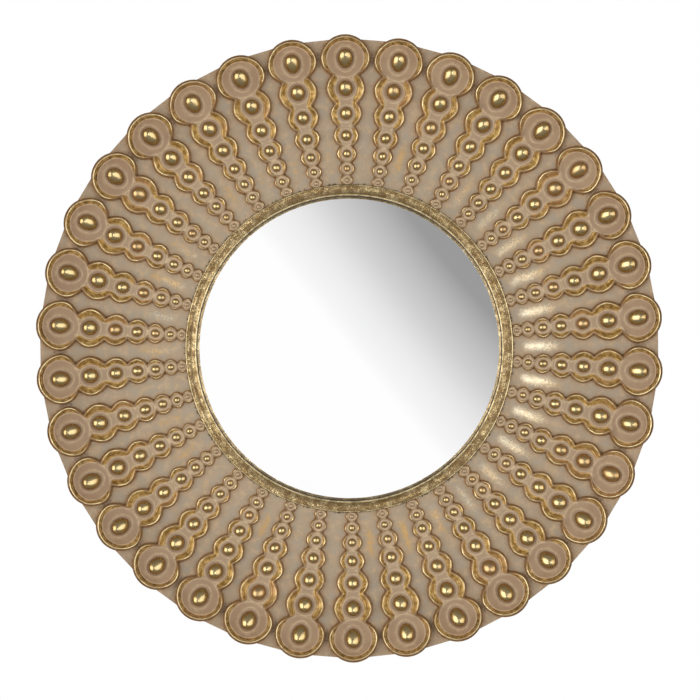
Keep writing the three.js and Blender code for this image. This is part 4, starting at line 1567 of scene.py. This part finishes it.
@dataclass
class PanScrew:
    """A pan-head screw with a cross recess and a short thread, built along the depth axis."""

    finish: bpy.types.Material
    head_radius: float = 3.6
    head_height: float = 2.1
    crown_radius: float = 2.2
    shank_radius: float = 1.9
    thread_pitch: float = 1.4
    thread_depth: float = 0.35
    sides: int = 28

    def _profile(self, under: float, tip: float) -> list[Place]:
        """Radius and depth along the screw, from the head's top to the tip."""
        top = under - self.head_height
        profile: list[Place] = [(0.0, top + 0.05), (1.4, top + 0.1)]
        for i in range(7):
            turn = math.pi / 2 * i / 6
            radius = self.crown_radius + (self.head_radius - self.crown_radius) * math.sin(turn)
            profile.append((radius, top + 0.12 + 1.13 * (1 - math.cos(turn))))
        profile.extend([(self.head_radius, under - 0.2), (self.head_radius - 0.15, under)])
        profile.append((self.shank_radius, under))
        root = self.shank_radius - self.thread_depth
        depth = under
        while depth < tip - 3.0:
            for radius, share in ((root, 0.3), (self.shank_radius, 0.65), (root, 1.0)):
                profile.append((radius, depth + self.thread_pitch * share))
            depth += self.thread_pitch
        profile.append((0.0, tip))
        return profile

    def build(self, name: str, node: str, place: Place, under: float, tip: float) -> bpy.types.Object:
        """Builds one screw.

        Args:
            name: Name of the piece.
            node: CAD node that it stands for.
            place: Where its axis is, seen from the front.
            under: Depth of the head's underside.
            tip: Depth of its tip.

        Returns:
            The piece.
        """
        shape = Shape()
        revolve(shape, self._profile(under, tip), self.sides, middle=place)
        mesh = shape.to_mesh(name)
        self._cut_cross(mesh, place, under - self.head_height)
        return place_piece(name, mesh, self.finish, node, sharp=40)

    def _cut_cross(self, mesh: bpy.types.Mesh, place: Place, top: float) -> None:
        """Cuts the cross recess out of the head.

        Args:
            mesh: The screw's mesh.
            place: Where its axis is, seen from the front.
            top: Depth of the head's top.
        """
        arm, width, deep = 2.1, 0.42, 1.3
        plan = [(arm, width), (width, width), (width, arm), (-width, arm), (-width, width), (-arm, width)]
        plan += [(-x, -z) for x, z in plan]
        shape = Shape()
        loops = [
            shape.add_loop([(place[0] + x * scale, place[1] + z * scale, depth) for x, z in plan])
            for scale, depth in ((1.0, top - 0.5), (0.55, top + deep))
        ]
        shape.skin(loops)
        cutter_mesh = shape.to_mesh("cross_cutter")
        target = bpy.data.objects.new("screw_blank", mesh)
        cutter = bpy.data.objects.new("cross_cutter", cutter_mesh)
        for thing in (target, cutter):
            bpy.context.scene.collection.objects.link(thing)
        cut = target.modifiers.new("cross", "BOOLEAN")
        cut.operation = "DIFFERENCE"
        cut.solver = "EXACT"
        cut.object = cutter
        graph = bpy.context.evaluated_depsgraph_get()
        result = bpy.data.meshes.new_from_object(target.evaluated_get(graph))
        work = bmesh.new()
        work.from_mesh(result)
        work.to_mesh(mesh)
        work.free()
        for thing in (target, cutter):
            bpy.data.objects.remove(thing)
        for spent in (result, cutter_mesh):
            bpy.data.meshes.remove(spent)


@dataclass
class BackBoard:
    """The fibreboard disc let into the frame's back."""

    finish: Finish
    radius: float = 221.0
    back: float = 8.3
    thickness: float = 6.0
    segments: int = 160

    def build(self) -> bpy.types.Object:
        """Builds and dresses the board."""
        front = self.back + self.thickness
        points = [
            (0.0, self.back),
            (110.0, self.back),
            (self.radius - 1.0, self.back),
            (self.radius - 0.3, self.back + 0.25),
            (self.radius, self.back + 1.0),
            (self.radius, front),
            (0.0, front),
        ]
        shape = Shape()
        revolve(shape, points, self.segments)
        mesh = shape.to_mesh("back_board_mesh")
        return place_piece("fibre_back_board", mesh, self.finish.make(), "back_board", sharp=40)


@dataclass
class Hanger:
    """The steel strap with its rolled eye, and the ring that swings in it."""

    finish: bpy.types.Material
    eye_height: float = 267.0
    eye_depth: float = 4.55
    eye_hole: float = 1.85
    eye_turn: float = 0.86
    width: float = 16.0
    length: float = 40.0
    thickness: float = 1.6
    strap_front: float = 8.0
    strap_edge: float = 0.3
    wire_radius: float = 1.5
    wire_sides: int = 14
    half_width: float = 12.5
    bend: float = 4.0
    side: float = 10.0

    def _strap_line(self) -> list[Place]:
        """Middle line of the strap seen from the side, as height and depth: up the frame and round the eye."""
        middle = self.eye_hole + self.thickness / 2
        flat = self.strap_front - self.thickness / 2
        line = [(self.eye_height - self.length * share, flat) for share in (1.0, 0.5)]
        steps = 26
        for i in range(steps + 1):
            turn = math.pi / 2 - 2 * math.pi * self.eye_turn * i / steps
            line.append((self.eye_height + middle * math.cos(turn), self.eye_depth + middle * math.sin(turn)))
        return line

    def build_strap(self) -> bpy.types.Object:
        """Builds the strap as a sheet of even thickness with rounded edges, bent round its eye."""
        wide, half, edge = self.width / 2, self.thickness / 2, self.strap_edge
        section = [(-wide, half - edge), (-wide + edge, half), (wide - edge, half), (wide, half - edge)]
        section += [(-x, -out) for x, out in section]
        line = [Vector(place) for place in self._strap_line()]
        shape = Shape()
        loops = []
        for i, middle in enumerate(line):
            run = (line[min(len(line) - 1, i + 1)] - line[max(0, i - 1)]).normalized()
            normal = Vector((-run.y, run.x))
            points = [(x, *(middle + normal * out)) for x, out in section]
            loops.append(shape.add_loop(points))
        shape.skin(loops)
        mesh = shape.to_mesh("hanger_strap_mesh")
        return place_piece("steel_hanger_strap", mesh, self.finish, "hanger_strap", sharp=40)

    def _ring_line(self) -> list[Place]:
        """Middle line of the ring's wire, once round, as x and height below the eye."""
        inner = self.half_width - self.bend
        line: list[Place] = [(0.0, 0.0), (inner * 0.5, 0.0)]
        for i in range(9):
            turn = math.pi / 2 * i / 8
            line.append((inner + self.bend * math.sin(turn), -self.bend * (1 - math.cos(turn))))
        low = -self.bend - self.side
        for i in range(25):
            turn = math.pi * i / 24
            line.append((self.half_width * math.cos(turn), low - self.half_width * math.sin(turn)))
        line.extend([(-x, z) for x, z in reversed(line[1:11])])
        return line

    def build_ring(self) -> bpy.types.Object:
        """Builds the ring as a round wire, hanging down from the eye."""
        line = [Vector((x, self.eye_height + z, self.eye_depth)) for x, z in self._ring_line()]
        out = Vector((0, 0, 1))
        shape = Shape()
        loops = []
        for i, middle in enumerate(line):
            side = (line[(i + 1) % len(line)] - line[i - 1]).normalized().cross(out).normalized()
            turns = [2 * math.pi * j / self.wire_sides for j in range(self.wire_sides)]
            around = [out * math.cos(turn) + side * math.sin(turn) for turn in turns]
            loops.append(shape.add_loop([tuple(middle + way * self.wire_radius) for way in around]))
        shape.skin(loops, closed=True)
        mesh = shape.to_mesh("hanger_ring_mesh")
        return place_piece(
            "steel_hanger_ring", mesh, self.finish, "hanger_ring", body=Body.HANGING_RING
        )


@dataclass
class WallBumper:
    """A round rubber bumper, tapered towards the wall, with a rounded edge and a shallow dimple."""

    finish: bpy.types.Material
    radius: float = 10.0
    height: float = 8.0
    sides: int = 48

    def build(self, number: int, place: Place) -> bpy.types.Object:
        """Builds one bumper.

        Args:
            number: Its number, as in the CAD node's name.
            place: Where its middle is, seen from the front.

        Returns:
            The piece.
        """
        dimple = [(0.0, 0.6), (2.4, 0.6), (3.0, 0.45), (3.3, 0.0)]
        side = [(8.2, 0.0), (8.8, 0.15), (9.2, 0.6), (9.45, 1.4), (9.9, 7.2), (self.radius, self.height)]
        shape = Shape()
        revolve(shape, [*dimple, *side, (0.0, self.height)], self.sides, middle=place)
        mesh = shape.to_mesh(f"bumper_mesh_{number}")
        return place_piece(
            f"rubber_bumper_{number}", mesh, self.finish, f"wall_bumper_{number}", sharp=50
        )


# ---------------------------------------------------------------- the studio


@dataclass
class Studio:
    """Floor, lamps, world and camera."""

    distance: float = 3.4
    view_width: float = 0.891
    rim_depth: float = 0.068
    roll_degrees: float = 0.8
    fill: float = 0.22
    room: float = 0.3
    card_power: float = 264.0

    def world(self) -> None:
        """White behind the mirror, also in reflections, and a dimmer room in front of it."""
        world = bpy.data.worlds.new("studio")
        bpy.context.scene.world = world
        g = Graph(world)
        path = g.add("LightPath")
        place = g.add("TexCoord")
        back = g.add("VectorMath", {"operation": "DOT_PRODUCT"})
        g.put(back.inputs[0], place.outputs["Generated"])
        g.put(back.inputs[1], (0.0, 1.0, 0.0))
        level = g.window(back.outputs["Value"], -0.1, 0.25, self.room, 1.0)
        mirrored = g.most(path.outputs["Is Glossy Ray"], path.outputs["Is Transmission Ray"])
        colour = g.mix(mirrored, (self.fill, self.fill, self.fill, 1.0), level)
        colour = g.mix(path.outputs["Is Camera Ray"], colour, (1.0, 1.0, 1.0, 1.0))
        g.put(g.nodes["Background"].inputs["Color"], colour)

    def floor(self) -> None:
        """A plain pale floor below the hung mirror, which shows white and keeps shadows."""
        g = Graph.of_material("pale_floor")
        g.surface(Base_Color=srgb(236, 235, 232), Roughness=0.8)
        light = g.add("Emission", Color=(1.0, 1.0, 1.0, 1.0), Strength=1.0)
        path = g.add("LightPath")
        mirrored = g.most(path.outputs["Is Glossy Ray"], path.outputs["Is Transmission Ray"])
        seen = g.most(g.times(path.outputs["Is Camera Ray"], 0.6), mirrored)
        mixed = g.add("MixShader")
        g.put(mixed.inputs[0], seen)
        g.put(mixed.inputs[1], g.nodes["Principled BSDF"].outputs[0])
        g.put(mixed.inputs[2], light.outputs[0])
        g.put(g.nodes["Material Output"].inputs["Surface"], mixed.outputs[0])
        mesh = bpy.data.meshes.new("floor")
        size, level = 3.2, -1.25
        corners = [(x * size, y * size, level) for x, y in ((-1, -1), (1, -1), (1, 1), (-1, 1))]
        mesh.from_pydata(corners, [], [(0, 1, 2, 3)])
        mesh.materials.append(g.owner)
        floor = bpy.data.objects.new("floor", mesh)
        floor.visible_glossy = False
        bpy.context.scene.collection.objects.link(floor)

    def lamp(
        self, name: str, azimuth: float, elevation: float, distance: float, size: Place, power: float
    ) -> bpy.types.Object:
        """Adds a softbox that faces the mirror.

        Args:
            name: Name of the lamp.
            azimuth: Degrees to the right of the camera's axis.
            elevation: Degrees above it.
            distance: From the mirror's middle, in metres.
            size: Width and height, in metres.
            power: In watts.

        Returns:
            The lamp.
        """
        data = bpy.data.lights.new(name, "AREA")
        data.shape = "RECTANGLE"
        data.size, data.size_y = size
        data.energy = power
        lamp = bpy.data.objects.new(name, data)
        a, e = math.radians(azimuth), math.radians(elevation)
        towards = Vector((math.sin(a) * math.cos(e), -math.cos(a) * math.cos(e), math.sin(e)))
        lamp.location = towards * distance
        lamp.rotation_mode = "QUATERNION"
        lamp.rotation_quaternion = towards.to_track_quat("Z", "Y")
        lamp.visible_camera = False
        bpy.context.scene.collection.objects.link(lamp)
        return lamp

    def lamps(self, glass: bpy.types.Object) -> None:
        """Two large softboxes, left and right, and a white wall for the glass alone to reflect."""
        pair = [
            self.lamp("softbox_left", -50, 2, 2.4, (2.35, 2.2), 42.0),
            self.lamp("softbox_right", 46, 2, 2.4, (2.75, 2.2), 30.0),
            self.lamp("strip_right", 7, -1, 2.6, (0.22, 1.1), 5.5),
        ]
        wall = self.lamp("white_wall", 0, 0, 3.9, (12.0, 8.0), self.card_power)
        self.shade(wall.data)
        apart = bpy.data.collections.new("all_but_the_glass")
        alone = bpy.data.collections.new("the_glass_alone")
        for group, state, lit_by in ((apart, "EXCLUDE", pair), (alone, "INCLUDE", [wall])):
            group.objects.link(glass)
            group.collection_objects[0].light_linking.link_state = state
            for lamp in lit_by:
                lamp.light_linking.receiver_collection = group

    def shade(self, data: bpy.types.AreaLight) -> None:
        """Lets the white wall fade to grey towards its upper right, and to nothing at its ends."""
        g = Graph(data)
        spot = g.add("NewGeometry")
        towards = g.add("VectorMath", {"operation": "NORMALIZE"})
        g.put(towards.inputs[0], spot.outputs["Position"])
        lean = g.add("VectorMath", {"operation": "DOT_PRODUCT"})
        g.put(lean.inputs[0], towards.outputs["Vector"])
        g.put(lean.inputs[1], (0.78, 0.0, 0.62))
        stops = [(0.0, 0.82), (0.06, 0.74), (0.15, 0.655), (0.21, 0.57), (0.3, 0.4), (0.387, 0.265), (0.435, 0.178)]
        stops += [(0.5, 0.04), (0.7, 0.03), (1.0, 0.2)]
        colour = g.ramp(lean.outputs["Value"], [(at, (level, level, level, 1.0)) for at, level in stops])
        ends = g.add("SeparateXYZ", Vector=spot.outputs["Position"])
        fade = g.window(g.math("ABSOLUTE", ends.outputs["X"]), 4.6, 5.9, 1.0, 0.0)
        fade = g.times(fade, g.window(g.math("ABSOLUTE", ends.outputs["Z"]), 3.0, 3.9, 1.0, 0.0))
        g.put(g.nodes["Emission"].inputs["Color"], g.mix(fade, (0.0, 0.0, 0.0, 1.0), colour))

    def camera(self) -> None:
        """Straight in front, as far back as a portrait lens stands, turned by a trace."""
        data = bpy.data.cameras.new("camera")
        data.sensor_width = 36.0
        data.lens = 36.0 * (self.distance - self.rim_depth) / self.view_width
        data.shift_x = 0.001
        data.shift_y = -0.0023
        camera = bpy.data.objects.new("camera", data)
        camera.matrix_world = (
            Matrix.Translation((0, -self.distance, 0))
            @ Matrix.Rotation(math.radians(90), 4, "X")
            @ Matrix.Rotation(math.radians(-self.roll_degrees), 4, "Z")
        )
        bpy.context.scene.collection.objects.link(camera)
        bpy.context.scene.camera = camera
        bpy.context.scene.view_settings.view_transform = "Standard"


# ---------------------------------------------------------------- assembly


def back_pieces(zinc: bpy.types.Material, rubber: bpy.types.Material) -> None:
    """Builds the board's and hanger's screws, the hanger and the bumpers.

    Args:
        zinc: Material of the steel pieces.
        rubber: Material of the bumpers.
    """
    screw = PanScrew(zinc)
    for i in range(6):
        place = polar((i + 0.5) * math.pi / 3, 215.5)
        screw.build(f"board_screw_{i + 1}", f"back_screw_{i + 1}", place, under=8.0, tip=25.6)
    hanger = Hanger(zinc)
    hanger.build_strap()
    hanger.build_ring()
    for i, drop in enumerate((9.0, 33.0)):
        place = (0.0, hanger.eye_height - drop)
        screw.build(f"strap_screw_{i + 1}", f"hanger_screw_{i + 1}", place, under=6.1, tip=19.3)
    bumper = WallBumper(rubber)
    for i, degrees in enumerate((45, 135, 225, 315)):
        bumper.build(i + 1, polar(math.radians(degrees), 247.5))


def main() -> None:
    """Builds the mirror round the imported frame, and the studio round the mirror."""
    logging.basicConfig(level=logging.INFO, format="%(name)s %(message)s")
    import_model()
    FrameCasting(GiltWash()).build()
    SightRing(GoldLeaf()).build()
    glass = ConvexGlass(Silvering())
    glass_piece = glass.build()
    glass.build_felt(Felt())
    glass.build_foam(Foam())
    BackBoard(Fibreboard()).build()
    back_pieces(ZincPlate().make(), BumperRubber().make())
    studio = Studio()
    studio.world()
    studio.floor()
    studio.lamps(glass_piece)
    studio.camera()


if __name__ == "__main__":
    main()
